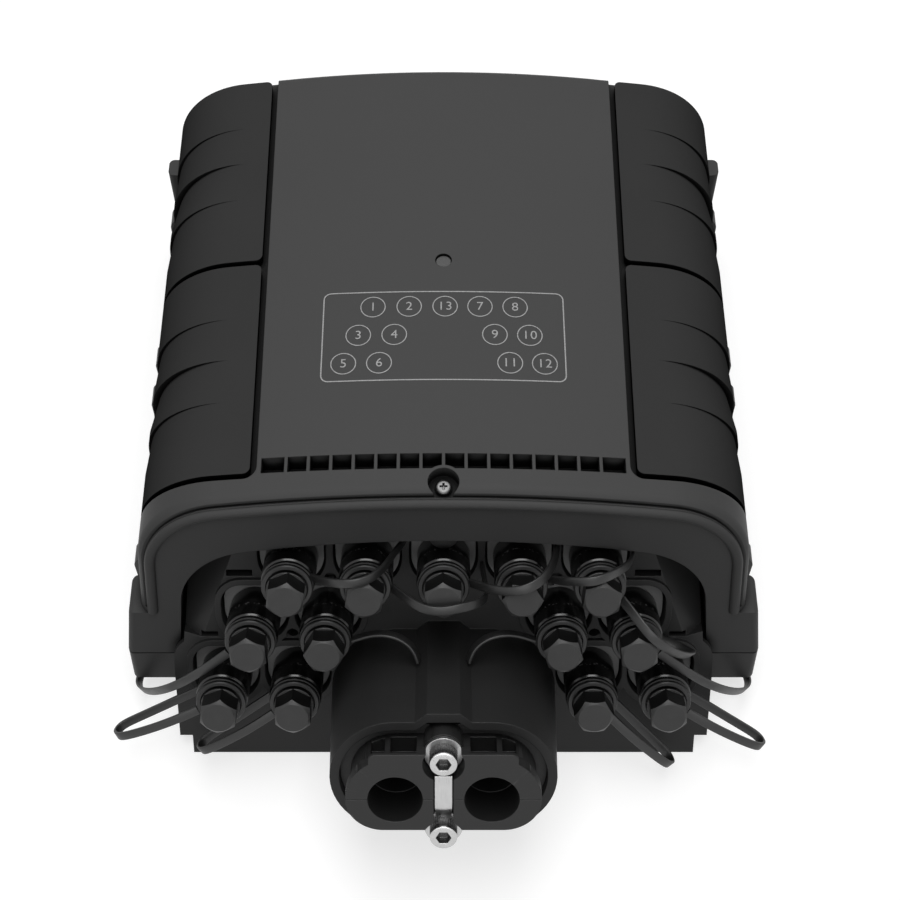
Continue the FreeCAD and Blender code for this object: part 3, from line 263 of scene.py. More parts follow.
CAP_TURNS = {1: 8, 2: 9, 3: -3, 4: 30, 5: 8, 6: 0, 7: 30, 8: 7, 9: -16, 10: -5, 11: 30, 12: -6, 13: -2}
# The lighter tone of the cap ends, and the facing at which it sets in, are painted light; the side tone is
# the plastic's own near-black.
CAP_SIDE_TONE, CAP_PAINTED_LIGHT_TONE = 0.003, 0.04
CAP_PAINTED_LIGHT_FACING = (0.5, 0.75)
CAP_WEAR = 0.15
CAP_FACE = 31.8
CAP_FACE_R = 6.0
CAP_CHAMFER = 1.3
HEX_FLATS = 13.2
HEX_FOOT = 23.6
HEX_SKIN = 0.01
CAP_PROFILE = [
    (0, 9.4), (6.2, 9.4), (6.8, 10), (6.8, 18.3), (9.4, 18.3), (9.4, 19.6), (9.7, 19.7), (9.7, 20.1),
    (9.2, 20.2), (9.2, 20.6), (9.5, 20.7), (9.5, 21.7), (9.2, 22.1), (7.9, 22.1), (7.7, 21.8), (7.6, 19.6),
    (6.2, 19.6), (6.2, 22.5), (7.3, 22.6), (7.5, 22.8), (7.5, 23.5), (7.3, 23.7), (0, 23.7),
]


def deselect():
    """Nothing selected, so that the next operator works on its own piece alone."""
    if bpy.context.mode != "OBJECT":
        bpy.ops.object.mode_set(mode="OBJECT")
    bpy.ops.object.select_all(action="DESELECT")


def hold(piece):
    """Only this piece selected and active."""
    deselect()
    piece.select_set(True)
    bpy.context.view_layer.objects.active = piece


def drum(radius, low, high, sides, name=None):
    """A cylinder on the Z axis between two heights, in millimetres."""
    deselect()
    bpy.ops.mesh.primitive_cylinder_add(
        vertices=sides, radius=radius * MM, depth=(high - low) * MM, location=(0, 0, (low + high) / 2 * MM)
    )
    bpy.ops.object.transform_apply(location=True, rotation=True, scale=True)
    made = bpy.context.active_object
    if name:
        made.name = name
        made.data.name = name
    return made


def pick(piece, kind, test):
    """In edit mode, selects the faces or edges that pass the test and nothing else."""
    bpy.ops.object.mode_set(mode="EDIT")
    bpy.ops.mesh.select_mode(type=kind)
    bpy.ops.mesh.select_all(action="DESELECT")
    bpy.ops.object.mode_set(mode="OBJECT")
    mesh = piece.data
    for part in mesh.polygons if kind == "FACE" else mesh.edges:
        part.select = test(mesh, part)
    bpy.ops.object.mode_set(mode="EDIT")


def all_at(z):
    """Test for an edge or face whose corners all lie at height z millimetres."""
    return lambda mesh, part: all(abs(mesh.vertices[v].co.z - z * MM) < TOUCH for v in part.vertices)


def cut(piece, tool, operation="DIFFERENCE"):
    """Takes the tool's shape out of the piece, or keeps what both share, or makes both one."""
    hold(piece)
    bite = piece.modifiers.new("cut", "BOOLEAN")
    bite.operation = operation
    bite.solver = "EXACT"
    bite.object = tool
    bpy.ops.object.modifier_apply(modifier=bite.name)
    bpy.data.objects.remove(tool)


def join(piece, other):
    """Makes the other mesh part of the piece."""
    hold(piece)
    other.select_set(True)
    bpy.ops.object.join()


def put(piece, place):
    """Moves a piece that was modelled at the origin to its place in the box, and applies it."""
    hold(piece)
    piece.matrix_world = place
    bpy.ops.object.transform_apply(location=True, rotation=True, scale=True)


def turned(name, profile):
    """A closed body turned about the Z axis from (radius, height) points in millimetres."""
    mesh = bpy.data.meshes.new(name)
    corners = [(radius * MM, 0, height * MM) for radius, height in profile]
    mesh.from_pydata(corners, [(k, k + 1) for k in range(len(corners) - 1)], [])
    made = bpy.data.objects.new(name, mesh)
    bpy.context.collection.objects.link(made)
    hold(made)
    bpy.ops.object.mode_set(mode="EDIT")
    bpy.ops.mesh.select_all(action="SELECT")
    bpy.ops.mesh.spin(steps=ROUND_SIDES, angle=2 * math.pi, center=(0, 0, 0), axis=(0, 0, 1))
    bpy.ops.mesh.select_all(action="SELECT")
    bpy.ops.mesh.remove_doubles(threshold=WELD * MM)
    bpy.ops.mesh.normals_make_consistent(inside=False)
    bpy.ops.object.mode_set(mode="OBJECT")
    return made


def hexagon_grip():
    """The hexagon of a cap, its corners turned down to a round face."""
    corner = HEX_FLATS / math.sqrt(3)
    grip = drum(corner, HEX_FOOT, CAP_FACE, 6)
    round_end = drum(corner + HEX_SKIN, HEX_FOOT - OVERCUT, CAP_FACE - CAP_CHAMFER, ROUND_SIDES)
    pick(round_end, "FACE", all_at(CAP_FACE - CAP_CHAMFER))
    bpy.ops.mesh.extrude_region_move(TRANSFORM_OT_translate={"value": (0, 0, CAP_CHAMFER * MM)})
    bpy.ops.transform.resize(value=(CAP_FACE_R / corner, CAP_FACE_R / corner, 1))
    bpy.ops.object.mode_set(mode="OBJECT")
    cut(grip, round_end, "INTERSECT")
    return grip


cap_black = moulded("cap_black", CAP_SIDE_TONE, 0.36, grain=0.0006, edge=0.0002, sheen=0.24)
# Faces that look out along the port (the round end, its chamfers and the fronts of the rings) are painted
# a lighter grey than the near-black sides: painted light.
outward = cap_black.node("ShaderNodeTexCoord", output="Normal")
end = cap_black.along(tuple(PORT_AXIS), outward).step(*CAP_PAINTED_LIGHT_FACING)
worn = cap_black.noise(0.004, 3.0)
painted_light_tones = grey(CAP_PAINTED_LIGHT_TONE * (1 - CAP_WEAR)), grey(CAP_PAINTED_LIGHT_TONE * (1 + CAP_WEAR))
cap_black.set({"Base Color": cap_black.blend(end, grey(CAP_SIDE_TONE), cap_black.blend(worn, *painted_light_tones))})
pattern_cap = turned("cap", CAP_PROFILE)
cut(pattern_cap, hexagon_grip(), "UNION")
for number, (x, s) in PORTS.items():
    cap = bpy.data.objects.new("cap_%02d" % number, pattern_cap.data.copy())
    bpy.context.collection.objects.link(cap)
    turn = Matrix.Rotation(-math.radians(CAP_TURNS[number]), 4, "Z")
    put(cap, PANEL @ Matrix.Translation((x * MM, s * MM, 0)) @ turn)
    cap.data.materials.append(cap_black.material)
    bpy.ops.object.shade_smooth_by_angle(angle=math.radians(20))
    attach(cap, "cap_%02d" % number)
    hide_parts("dust_cap_%02d" % number)
bpy.data.objects.remove(pattern_cap)

# Cap straps: flat rubber bands, one to a cap, that run from the collar of the cap out in a loop
# and back to the root of the barrel or to the housing, so that a cap that is taken out is not lost.
# Moulded in one piece with a satin skin.

STRAP_WIDTH = 3.6
STRAP_THICK = 1.2
STRAP_ROUND = 0.35
SIDE_LOOP = [(10.1, 20.3), (17.5, 21), (27, 20.8), (37, 19.5), (44.7, 17.6), (47.3, 14.7), (47, 11.4),
             (44.7, 9.1), (37, 8.3), (27, 7.4), (17.5, 6.4), (10.4, 5.9)]
HOOD_LEFT = [(9.5, 3.4, 20.3), (12.6, 4.9, 24.8), (16.4, 7, 29.5), (20.6, 8.4, 32.8), (25.2, 9, 33.8),
             (29.5, 9.4, 32.4), (33, 9.6, 28.8), (35.8, 9.5, 23.5), (37.8, 9.2, 17), (39.8, 9.1, 10.5),
             (42, 9.1, 5.2), (43.2, 9, 0.5)]
HOOD_MIDDLE = [(10, 1.3, 20.3), (14.2, 2.5, 25.4), (19.6, 4.2, 30.6), (25, 5.6, 33.8), (30, 7.2, 34.5),
               (34.2, 8.6, 32.6), (37.4, 9.5, 28.4), (39.9, 9.9, 22), (41.4, 9.9, 14.5), (42.4, 9.8, 7.4),
               (43.2, 9.7, 0.5)]
HOOD_RIGHT = [(9.5, 3.4, 20.3), (12.8, 5, 25), (16.8, 7.6, 29.8), (21, 9.2, 32.8), (25, 10, 33.8),
              (29.2, 10.5, 32.4), (33, 10.2, 28.6), (36.8, 9, 23), (39.9, 7.4, 16.5), (41.8, 6.9, 9),
              (43.2, 6.8, 0.5)]
ACROSS_MIDDLE = [(10.1, -1, 20.3), (14.2, -1.3, 26), (18.4, -1.7, 30.8), (23.2, -2.2, 34),
                 (28.9, -2.1, 34.8), (34.6, -1.2, 34.2), (39.6, -1.6, 31), (43.4, -3, 26),
                 (45, -4.2, 19.6), (44.5, -4.3, 12.6), (43.9, -3.6, 6.2), (43.2, -3, 0.5)]
TO_RIM = [(8.3, -5.8, 20.3), (11.5, -8, 25), (15, -11.2, 29.8), (19, -15, 32.4), (23.3, -19.4, 31.4),
          (28, -24.3, 28), (32.6, -28.6, 23.3), (36, -31.8, 18), (37, -34.6, 12.5), (34.8, -35.6, 8.4),
          (30.5, -34.9, 5), (26.2, -34.1, 3.7)]
TO_SLEEVE = [(10.1, 0.2, 20.3), (15.8, 3, 21), (22.2, 4.2, 22), (29, 2.6, 23), (33.8, -1.9, 24),
             (35, -6.8, 24.6)]
UNDER_FOOT = [(8.6, -5.4, 20.3), (14.9, -11.5, 18.5), (21.6, -18.5, 15), (30.6, -27.1, 10),
              (38.6, -34.7, 3), (45.6, -41.9, -6.5), (50.3, -45.4, -13.7), (52, -44.8, -18.8),
              (49.3, -40, -23.5), (46.4, -34.9, -23.8)]
EDGEWISE = (4, 9)


def loop_at(angle, loop):
    """A loop's points, turned to an angle round the port axis."""
    c, s = math.cos(math.radians(angle)), math.sin(math.radians(angle))
    return [(r * c, r * s, t) for r, t in loop]


ROUTES = {
    1: HOOD_LEFT,
    2: ACROSS_MIDDLE,
    3: [(-x, s, t) for x, s, t in UNDER_FOOT],
    4: TO_SLEEVE,
    5: loop_at(205, SIDE_LOOP),
    6: loop_at(215, SIDE_LOOP),
    7: HOOD_RIGHT,
    8: TO_RIM,
    9: [(-x, s, t) for x, s, t in TO_SLEEVE],
    10: UNDER_FOOT,
    11: loop_at(314, SIDE_LOOP),
    12: loop_at(328, SIDE_LOOP),
    13: HOOD_MIDDLE,
}

strap_rubber = Finish("strap_rubber")
skin = strap_rubber.noise(0.0016, 3.0)
strap_rubber.set({
    "Base Color": strap_rubber.blend(skin, grey(0.006), grey(0.011)),
    "Roughness": 0.34 + skin * 0.2,
})
strap_rubber.bump(skin, 0.00004, strap_rubber.soft_edges(0.0003))


def smooth_line(name, points):
    """Points along a smooth curve that has the given points as its control points."""
    curve = bpy.data.curves.new(name, "CURVE")
    curve.dimensions = "3D"
    curve.resolution_u = 8
    spline = curve.splines.new("NURBS")
    spline.points.add(len(points) - 1)
    for control, point in zip(spline.points, points):
        control.co = (*point, 1.0)
    spline.order_u = 3
    spline.use_endpoint_u = True
    guide = bpy.data.objects.new(name, curve)
    line = bpy.data.meshes.new_from_object(guide)
    places = [vertex.co.copy() for vertex in line.vertices]
    bpy.data.objects.remove(guide)
    bpy.data.curves.remove(curve)
    bpy.data.meshes.remove(line)
    return places


def band_section():
    """The strap's section: a flat rectangle with rounded corners, as (across, through) pairs."""
    wide, thick, r = STRAP_WIDTH / 2 * MM, STRAP_THICK / 2 * MM, STRAP_ROUND * MM
    section = []
    for k, (a, b) in enumerate(((1, 1), (-1, 1), (-1, -1), (1, -1))):
        for step in (0, 45, 90):
            turn = math.radians(90 * k + step)
            section.append((a * (wide - r) + r * math.cos(turn), b * (thick - r) + r * math.sin(turn)))
    return section


def strap_mesh(name, places, wide):
    """A flat band along places, its width at the start in the direction wide and never twisted."""
    section = band_section()
    count = len(section)
    corners = []
    ahead = None
    for k, place in enumerate(places):
        before = places[max(k - 1, 0)]
        after = places[min(k + 1, len(places) - 1)]
        direction = (after - before).normalized()
        if ahead is not None:
            wide = ahead.rotation_difference(direction) @ wide
        wide = (wide - direction * wide.dot(direction)).normalized()
        flat = direction.cross(wide)
        corners += [place + wide * a + flat * b for a, b in section]
        ahead = direction
    faces = [tuple(reversed(range(count)))]
    for k in range(len(places) - 1):
        for j in range(count):
            low, high = k * count, (k + 1) * count
            faces.append((low + j, low + (j + 1) % count, high + (j + 1) % count, high + j))
    faces.append(tuple(range((len(places) - 1) * count, len(places) * count)))
    mesh = bpy.data.meshes.new(name)
    mesh.from_pydata([tuple(corner) for corner in corners], [], faces)
    mesh.update()
    return mesh


for number, (x, s) in PORTS.items():
    port = PANEL @ Matrix.Translation((x * MM, s * MM, 0))
    route = [port @ (Vector(point) * MM) for point in ROUTES[number]]
    first = Vector(ROUTES[number][0])
    across = Vector((0, 0, 1)) if number in EDGEWISE else Vector((-first.y, first.x, 0)).normalized()
    name = "strap_%02d" % number
    places = smooth_line(name, route)
    strap = bpy.data.objects.new(name, strap_mesh(name, places, port.to_3x3() @ across))
    bpy.context.collection.objects.link(strap)
    strap.data.materials.append(strap_rubber.material)
    hold(strap)
    bpy.ops.object.shade_smooth_by_angle(angle=math.radians(50))
    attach(strap, "box")
    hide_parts("cap_strap_%02d" % number)

# Cable gland: a soft rubber seal with two cable holes inside the sleeve, and the two halves of the
# pressure plate that squeeze it. The plates are ribbed mouldings in the housing's plastic, the seal
# is duller. The upper one has a straight crown and deep pockets between its ribs.

GLAND_S = 32.0
GLAND_PLACE = PANEL @ Matrix.Translation((0, GLAND_S * MM, 0))
PLATE_FRONT, PLATE_BACK = 71.0, 69.6
POCKET_FLOOR, POCKET_START = 10.1, 56.2
RIBS = (8.6, 20.0, 27.0)
RIB = 2.0
CROWN_X, CROWN_LOW, CROWN_TOP = 26.6, 11.0, 19.53
CROWN_CORNER = 2.4
CROWN_PROUD = 0.02
CROWN_ROOT = 0.13
EYE_ROOM_R = 7.6
UPPER_EYE, LOWER_EYE = 15.3, -17.2

seal_black = moulded("seal_black", 0.008, 0.62, grain=0.0009, edge=0.0004)
gland_black = moulded("gland_black", 0.008, 0.48, edge=0.0006, sheen=0.36)


def block(low, high):
    """A rectangular block between two corners, in millimetres."""
    deselect()
    middle = [(a + b) / 2 * MM for a, b in zip(low, high)]
    bpy.ops.mesh.primitive_cube_add(size=1, location=middle)
    made = bpy.context.active_object
    made.scale = [(b - a) * MM for a, b in zip(low, high)]
    bpy.ops.object.transform_apply(location=True, rotation=True, scale=True)
    return made


def gland_crown():
    """The straight crown of the upper plate, with its two top corners rounded."""
    back, front = PLATE_BACK - CROWN_ROOT, PLATE_FRONT + CROWN_PROUD
    crown = block((-CROWN_X, CROWN_LOW, back), (CROWN_X, CROWN_TOP, front))
    for side in (-1, 1):
        pick(crown, "EDGE", lambda mesh, edge: all(
            abs(mesh.vertices[v].co.x - side * CROWN_X * MM) < TOUCH
            and abs(mesh.vertices[v].co.y - CROWN_TOP * MM) < TOUCH for v in edge.vertices
        ))
        bpy.ops.mesh.bevel(offset=CROWN_CORNER * MM, segments=6, affect="EDGES")
        bpy.ops.object.mode_set(mode="OBJECT")
    eye_room = drum(EYE_ROOM_R, PLATE_BACK - OVERCUT, PLATE_FRONT + OVERCUT, 64)
    put(eye_room, Matrix.Translation((0, UPPER_EYE * MM, 0)))
    cut(crown, eye_room)
    return crown


plate = bpy.data.objects.new("gland_crown_plate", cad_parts["gland_plate_upper"].data.copy())
bpy.context.collection.objects.link(plate)
hold(plate)
bpy.ops.object.mode_set(mode="EDIT")
bpy.ops.mesh.select_all(action="SELECT")
bpy.ops.mesh.remove_doubles(threshold=WELD * MM)
bpy.ops.object.mode_set(mode="OBJECT")
for near, far in zip(RIBS, RIBS[1:]):
    for side in (-1, 1):
        left, right = sorted((side * (near + RIB / 2), side * (far - RIB / 2)))
        pocket = block((left, POCKET_FLOOR, POCKET_START), (right, 2 * CROWN_TOP, PLATE_BACK))
        put(pocket, GLAND_PLACE)
        cut(plate, pocket)
crown = gland_crown()
put(crown, GLAND_PLACE)
cut(plate, crown, "UNION")
plate.data.materials.clear()
plate.data.materials.append(gland_black.material)
bpy.ops.object.shade_flat()
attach(plate, "box")
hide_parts("gland_plate_upper")
dress(seal_black, "cable_seal")
dress(gland_black, "gland_plate_lower")

# Tie bar: a punched strip of stainless sheet, bent back at each end to an eye under a screw, laid in
# a channel over the two plate halves. The faces keep the fine lines of the rolled sheet, the edges
# are tumbled round.

BAR_WIDTH = 6.2
BAR_THICK = 1.6
BAR_BEND = 2.2
EYE_R = 7.0
EYE_BORE = 3.1
EYE_SEAT = 63.4
BAR_COURSE = [(LOWER_EYE, 64.2), (-10.2, 64.2), (-4.4, 70), (9.4, 70), (10.4, 64.2), (UPPER_EYE, 64.2)]


def steel(name, dark, bright, gloss, stretch):
    """Bright steel with fine lines drawn along one axis."""
    finish = Finish(name, Metallic=1.0)
    drawn = finish.node("ShaderNodeMapping", None, {"Vector": finish.place, "Scale": stretch})
    lines = finish.noise(0.0004, 4.0, drawn)
    smudge = finish.noise(0.004, 2.0)
    finish.set({
        "Base Color": finish.blend(lines * 0.6 + smudge * 0.4, grey(dark), grey(bright)),
        "Roughness": gloss + (lines - 0.5) * 0.16 + (smudge - 0.5) * 0.1,
    })
    finish.bump(lines, 0.00001, finish.soft_edges(0.0003))
    return finish


def edge_at(s, height):
    """Test for an edge across the strip at one point of its course."""
    return lambda mesh, edge: all(
        abs(mesh.vertices[v].co.y - s * MM) < TOUCH and abs(mesh.vertices[v].co.z - height * MM) < TOUCH
        for v in edge.vertices
    )


def bent_strip(course):
    """A strip of sheet that follows (along, out) points, with rounded bends."""
    (start, height), (end, _) = course[:2]
    deselect()
    bpy.ops.mesh.primitive_plane_add(size=1, location=(0, (start + end) / 2 * MM, height * MM))
    strip = bpy.context.active_object
    strip.name = "tie_strip"
    strip.scale = (BAR_WIDTH * MM, (end - start) * MM, 1)
    bpy.ops.object.transform_apply(location=True, rotation=True, scale=True)
    for (s, out), (next_s, next_out) in zip(course[1:], course[2:]):
        pick(strip, "EDGE", edge_at(s, out))
        run = (0, (next_s - s) * MM, (next_out - out) * MM)
        bpy.ops.mesh.extrude_region_move(TRANSFORM_OT_translate={"value": run})
        bpy.ops.object.mode_set(mode="OBJECT")
    for s, out in course[1:3]:
        pick(strip, "EDGE", edge_at(s, out))
        bpy.ops.mesh.bevel(offset=BAR_BEND * MM, segments=6, affect="EDGES")
        bpy.ops.object.mode_set(mode="OBJECT")
    sheet = strip.modifiers.new("sheet", "SOLIDIFY")
    sheet.thickness = BAR_THICK * MM
    sheet.offset = 0
    bpy.ops.object.modifier_apply(modifier=sheet.name)
    return strip


bar_steel = steel("bar_steel", 0.36, 0.58, 0.3, (1.0, 0.08, 0.08))
bar = bent_strip(BAR_COURSE)
for s in (LOWER_EYE, UPPER_EYE):
    eye = drum(EYE_R, EYE_SEAT, EYE_SEAT + BAR_THICK, 64)
    put(eye, Matrix.Translation((0, s * MM, 0)))
    cut(bar, eye, "UNION")
for s in (LOWER_EYE, UPPER_EYE):
    bore = drum(EYE_BORE, EYE_SEAT - OVERCUT, EYE_SEAT + BAR_THICK + OVERCUT, 48)
    put(bore, Matrix.Translation((0, s * MM, 0)))
    cut(bar, bore)
put(bar, GLAND_PLACE)
bar.data.materials.append(bar_steel.material)
bpy.ops.object.shade_smooth_by_angle(angle=math.radians(30))
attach(bar, "box")
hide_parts("tie_bar")

# Gland screws: two stainless socket screws through the eyes of the tie bar. The head is a short
# cylinder with a knurled rim, a chamfered top and a hexagon socket.

HEAD_R = 5.0
HEAD_HEIGHT = 6.0
HEAD_SEAT = 65.0
HEAD_CHAMFER = 0.5
KNURLS = 36
KNURL_DEPTH = 0.22
KNURL_HEIGHT = 5.1
# The dark tone below the head's top chamfer is painted shade.
HEAD_SIDE_PAINTED_SHADE = 0.14
RIM_FADE = 0.0004
SOCKET_FLATS = 5.0
SOCKET_DEPTH = 3.4
SOCKET_TURN = math.radians(30)
SHANK_R = 2.9
SHANK_LENGTH = 7.8
SHANK_ROOT = 0.2
SCREW_PLACES = {"gland_screw_upper": GLAND_S + UPPER_EYE, "gland_screw_lower": GLAND_S + LOWER_EYE}

screw_steel = steel("screw_steel", 0.38, 0.6, 0.28, (1.0, 1.0, 1.0))
# Below the chamfer of the head, the steel is painted dark on the knurled side, in the socket and on the
# shank: painted shade, standing in for darker reflections.
rim = (HEAD_SEAT + HEAD_HEIGHT - HEAD_CHAMFER) * MM
top = above_panel(screw_steel).step(rim - RIM_FADE, rim)
bright = screw_steel.shader.inputs["Base Color"].links[0].from_socket
screw_steel.set({"Base Color": screw_steel.blend(top, grey(HEAD_SIDE_PAINTED_SHADE), Value(screw_steel, bright))})


def socket_screw():
    """A knurled socket screw that stands on the origin, head up."""
    head = drum(HEAD_R, 0, HEAD_HEIGHT, 2 * KNURLS, "gland_screw")
    hold(head)
    pick(head, "FACE", lambda mesh, face: abs(face.normal.z) < 0.5)
    bpy.ops.mesh.bisect(plane_co=(0, 0, KNURL_HEIGHT * MM), plane_no=(0, 0, 1))
    pick(head, "FACE", lambda mesh, face: (
        abs(face.normal.z) < 0.5 and face.center.z < KNURL_HEIGHT * MM
        and int(round(math.degrees(math.atan2(face.center.y, face.center.x)) / 360 * 2 * KNURLS - 0.5)) % 2
    ))
    bpy.ops.mesh.extrude_faces_move(TRANSFORM_OT_shrink_fatten={"value": -KNURL_DEPTH * MM})
    pick(head, "EDGE", all_at(HEAD_HEIGHT))
    bpy.ops.mesh.bevel(offset=HEAD_CHAMFER * MM, segments=2, affect="EDGES")
    bpy.ops.object.mode_set(mode="OBJECT")
    socket = drum(SOCKET_FLATS / math.sqrt(3), HEAD_HEIGHT - SOCKET_DEPTH, HEAD_HEIGHT + OVERCUT, 6)
    put(socket, Matrix.Rotation(SOCKET_TURN, 4, "Z"))
    cut(head, socket)
    join(head, drum(SHANK_R, -SHANK_LENGTH, SHANK_ROOT, 32))
    return head


pattern_screw = socket_screw()
for name, s in SCREW_PLACES.items():
    screw = pattern_screw.copy()
    screw.data = pattern_screw.data.copy()
    screw.name = name
    bpy.context.collection.objects.link(screw)
    put(screw, PANEL @ Matrix.Translation((0, s * MM, HEAD_SEAT * MM)))
    screw.data.materials.append(screw_steel.material)
    bpy.ops.object.shade_smooth_by_angle(angle=math.radians(35))
    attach(screw, "box")
    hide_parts("gland_screws")
bpy.data.objects.remove(pattern_screw)

# Cover gasket: a foamed rubber cord in the groove of the housing flange, pressed flat by the cover.
# Only its edge can be seen, when the cover is off.

dress(seal_black, "cover_gasket")

# Front cover: the large hood over the box, drawn down at the sides and open over the ports. Moulded
# in dark grey plastic with a fine grain, held by one screw at its near edge and the side latches.

# The gaps and recesses of the cover are darkened with painted shade.
cover_grey = moulded("cover_grey", 0.05, 0.52, cloudy=0.06, sheen=0.08, shade_reach=0.006)
dress(cover_grey, "front_cover")

# Lip bead: the rounded rim that runs round the front edge of the hood, from foot to foot. Moulded in
# one with the cover, so it has the cover's plastic and overhangs the front face a little.

COVER_TOP = 123.5
COVER_CROWN = 600.0
COVER_SIDE = 118.6
COVER_CORNER = 36.0
COVER_DRAFT = math.radians(4.5)
SEAM_HEIGHT = 32.0
FRONT_PLACE = (-78.8, 117.7)
FRONT_TILT = math.radians(12.0)
BEAD_INSET = 4.9
BEAD_R = 2.1
BEAD_SINK = 0.3
BEAD_LOW = 58.0
CORNER_STEPS = 24
CROWN_STEPS = 16


def lip_course():
    """Points in mm along one half of the lip, from its foot to the middle, under the outer skin."""
    side = Vector((math.cos(COVER_DRAFT), math.sin(COVER_DRAFT)))
    along = Vector((-side.y, side.x))
    reach = side * (COVER_SIDE * side.x + SEAM_HEIGHT * side.y - COVER_CORNER)
    hub = Vector((0, COVER_TOP - COVER_CROWN))
    drop = (reach - hub).dot(along)
    rise = math.sqrt(drop ** 2 - (reach - hub).length_squared + (COVER_CROWN - COVER_CORNER) ** 2) - drop
    centre = reach + along * rise
    shoulder = math.atan2(*reversed(centre - hub))
    hip = centre + side * (COVER_CORNER - BEAD_INSET)
    points = [hip - along * ((hip.y - BEAD_LOW) / along.y)]
    for step in range(CORNER_STEPS + 1):
        turn = COVER_DRAFT + (shoulder - COVER_DRAFT) * step / CORNER_STEPS
        points.append(centre + Vector((math.cos(turn), math.sin(turn))) * (COVER_CORNER - BEAD_INSET))
    for step in range(1, CROWN_STEPS + 1):
        turn = shoulder + (math.pi / 2 - shoulder) * step / CROWN_STEPS
        points.append(hub + Vector((math.cos(turn), math.sin(turn))) * (COVER_CROWN - BEAD_INSET))
    return points


half_lip = lip_course()
whole_lip = half_lip + [Vector((-point.x, point.y)) for point in reversed(half_lip[:-1])]
deselect()
bpy.ops.curve.primitive_nurbs_path_add()
lip_bead = bpy.context.active_object
lip_bead.name = "lip_bead"
lip_bead.data.splines.clear()
spline = lip_bead.data.splines.new("POLY")
spline.points.add(len(whole_lip) - 1)
for point, (x, z) in zip(spline.points, whole_lip):
    y = FRONT_PLACE[0] - (FRONT_PLACE[1] - z) * math.tan(FRONT_TILT) + BEAD_SINK
    point.co = (x * MM, y * MM, z * MM, 1)
lip_bead.data.bevel_depth = BEAD_R * MM
lip_bead.data.bevel_resolution = 6
lip_bead.data.use_fill_caps = True
bpy.ops.object.convert(target="MESH")
lip_bead = bpy.context.active_object
lip_bead.data.materials.clear()
lip_bead.data.materials.append(cover_grey.material)
bpy.ops.object.shade_smooth_by_angle(angle=math.radians(40))
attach(lip_bead, "box")

# Cover screw and lock screw: a plated pan-head screw with a cross recess at the bottom of the round
# well in the near edge, and a small black screw in the middle of the cover.

PAN_R = 3.2
PAN_HEIGHT = 2.4
PAN_ROUND = 1.3
PAN_SHANK_R = 2.0
PAN_SHANK_ROOT = 0.1
CROSS_WIDTH = 0.9
CROSS_LENGTH = 3.6
CROSS_DEPTH = 1.4
CROSS_TAPER = 0.55
low_corner, high_corner = (Vector(corner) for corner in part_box("cover_screw"))
pan_shank = (high_corner.z - low_corner.z) / MM - PAN_HEIGHT

cover_screw = drum(PAN_R, -PAN_HEIGHT, 0, 40, "pan_screw")
pick(cover_screw, "EDGE", all_at(0))
bpy.ops.mesh.bevel(offset=PAN_ROUND * MM, segments=5, affect="EDGES")
bpy.ops.object.mode_set(mode="OBJECT")
for wide, deep in ((CROSS_WIDTH, CROSS_LENGTH), (CROSS_LENGTH, CROSS_WIDTH)):
    slot_tool = block((-wide / 2, -deep / 2, -CROSS_DEPTH), (wide / 2, deep / 2, CROSS_DEPTH))
    pick(slot_tool, "FACE", lambda mesh, face: face.normal.z < -0.5)
    bpy.ops.transform.resize(value=(CROSS_TAPER, CROSS_TAPER, 1))
    bpy.ops.object.mode_set(mode="OBJECT")
    cut(cover_screw, slot_tool)
join(cover_screw, drum(PAN_SHANK_R, -PAN_HEIGHT - pan_shank, -PAN_HEIGHT + PAN_SHANK_ROOT, 24))
screw_middle = (low_corner + high_corner) / 2
put(cover_screw, Matrix.Translation((screw_middle.x, screw_middle.y, high_corner.z)))
plated_steel = steel("plated_steel", 0.06, 0.15, 0.38, (1.0, 1.0, 1.0))
cover_screw.data.materials.append(plated_steel.material)
bpy.ops.object.shade_smooth_by_angle(angle=math.radians(35))
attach(cover_screw, "box")
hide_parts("cover_screw")

lock_black = Finish("lock_black", Metallic=0.2)
oxide = lock_black.noise(0.0008, 3.0)
lock_black.set({"Base Color": lock_black.blend(oxide, grey(0.006), grey(0.02))})
lock_black.set({"Roughness": 0.3 + oxide * 0.2})
dress(lock_black, "lock_screw")

# Side latches and hinge pins: four wrap-over flaps, two to a side, that swing on steel pins in lugs
# of the housing and clamp the cover. Moulded in the cover's plastic, a shade darker, with finger grips.

# The gaps round the latches and their finger grips are darkened with painted shade.
latch_grey = moulded("latch_grey", 0.037, 0.55, cloudy=0.08, edge=0.0006, sheen=0.0, shade_reach=0.006)
LATCHES = [f"latch_{side}_{end}" for side in ("right", "left") for end in ("near", "far")]
dress(latch_grey, *LATCHES)
dress(bar_steel, "latch_pins")

# Port chart: a thin frame on the cover with a ringed number for each port, laid out as the ports are.
# Screen printed in pale grey ink on the crowned top.

INK_RISE = 0.06
INK_THICK = 0.05
FRAME_X = 46.0
FRAME_NEAR, FRAME_FAR = -28.5, 12.6
FRAME_CORNER = 3.0
FRAME_LINE = 0.5
RING_R = 4.85
RING_LINE = 0.4
DIGIT_HEIGHT = 3.8
DIGIT_SHARE = 0.7
DIGIT_SPACING = 1.1
BEND_LINES = range(-40, 41, 8)
CHART = {
    1: (-26.9, 5.4), 2: (-13.1, 5.4), 13: (0.6, 5.4), 7: (13.9, 5.4), 8: (27.3, 5.4),
    3: (-32.2, -7.6), 4: (-18.6, -7.6), 9: (19.4, -7.6), 10: (32.6, -7.6),
    5: (-37.5, -20.4), 6: (-24.1, -20.4), 11: (24.9, -20.4), 12: (37.9, -20.4),
}

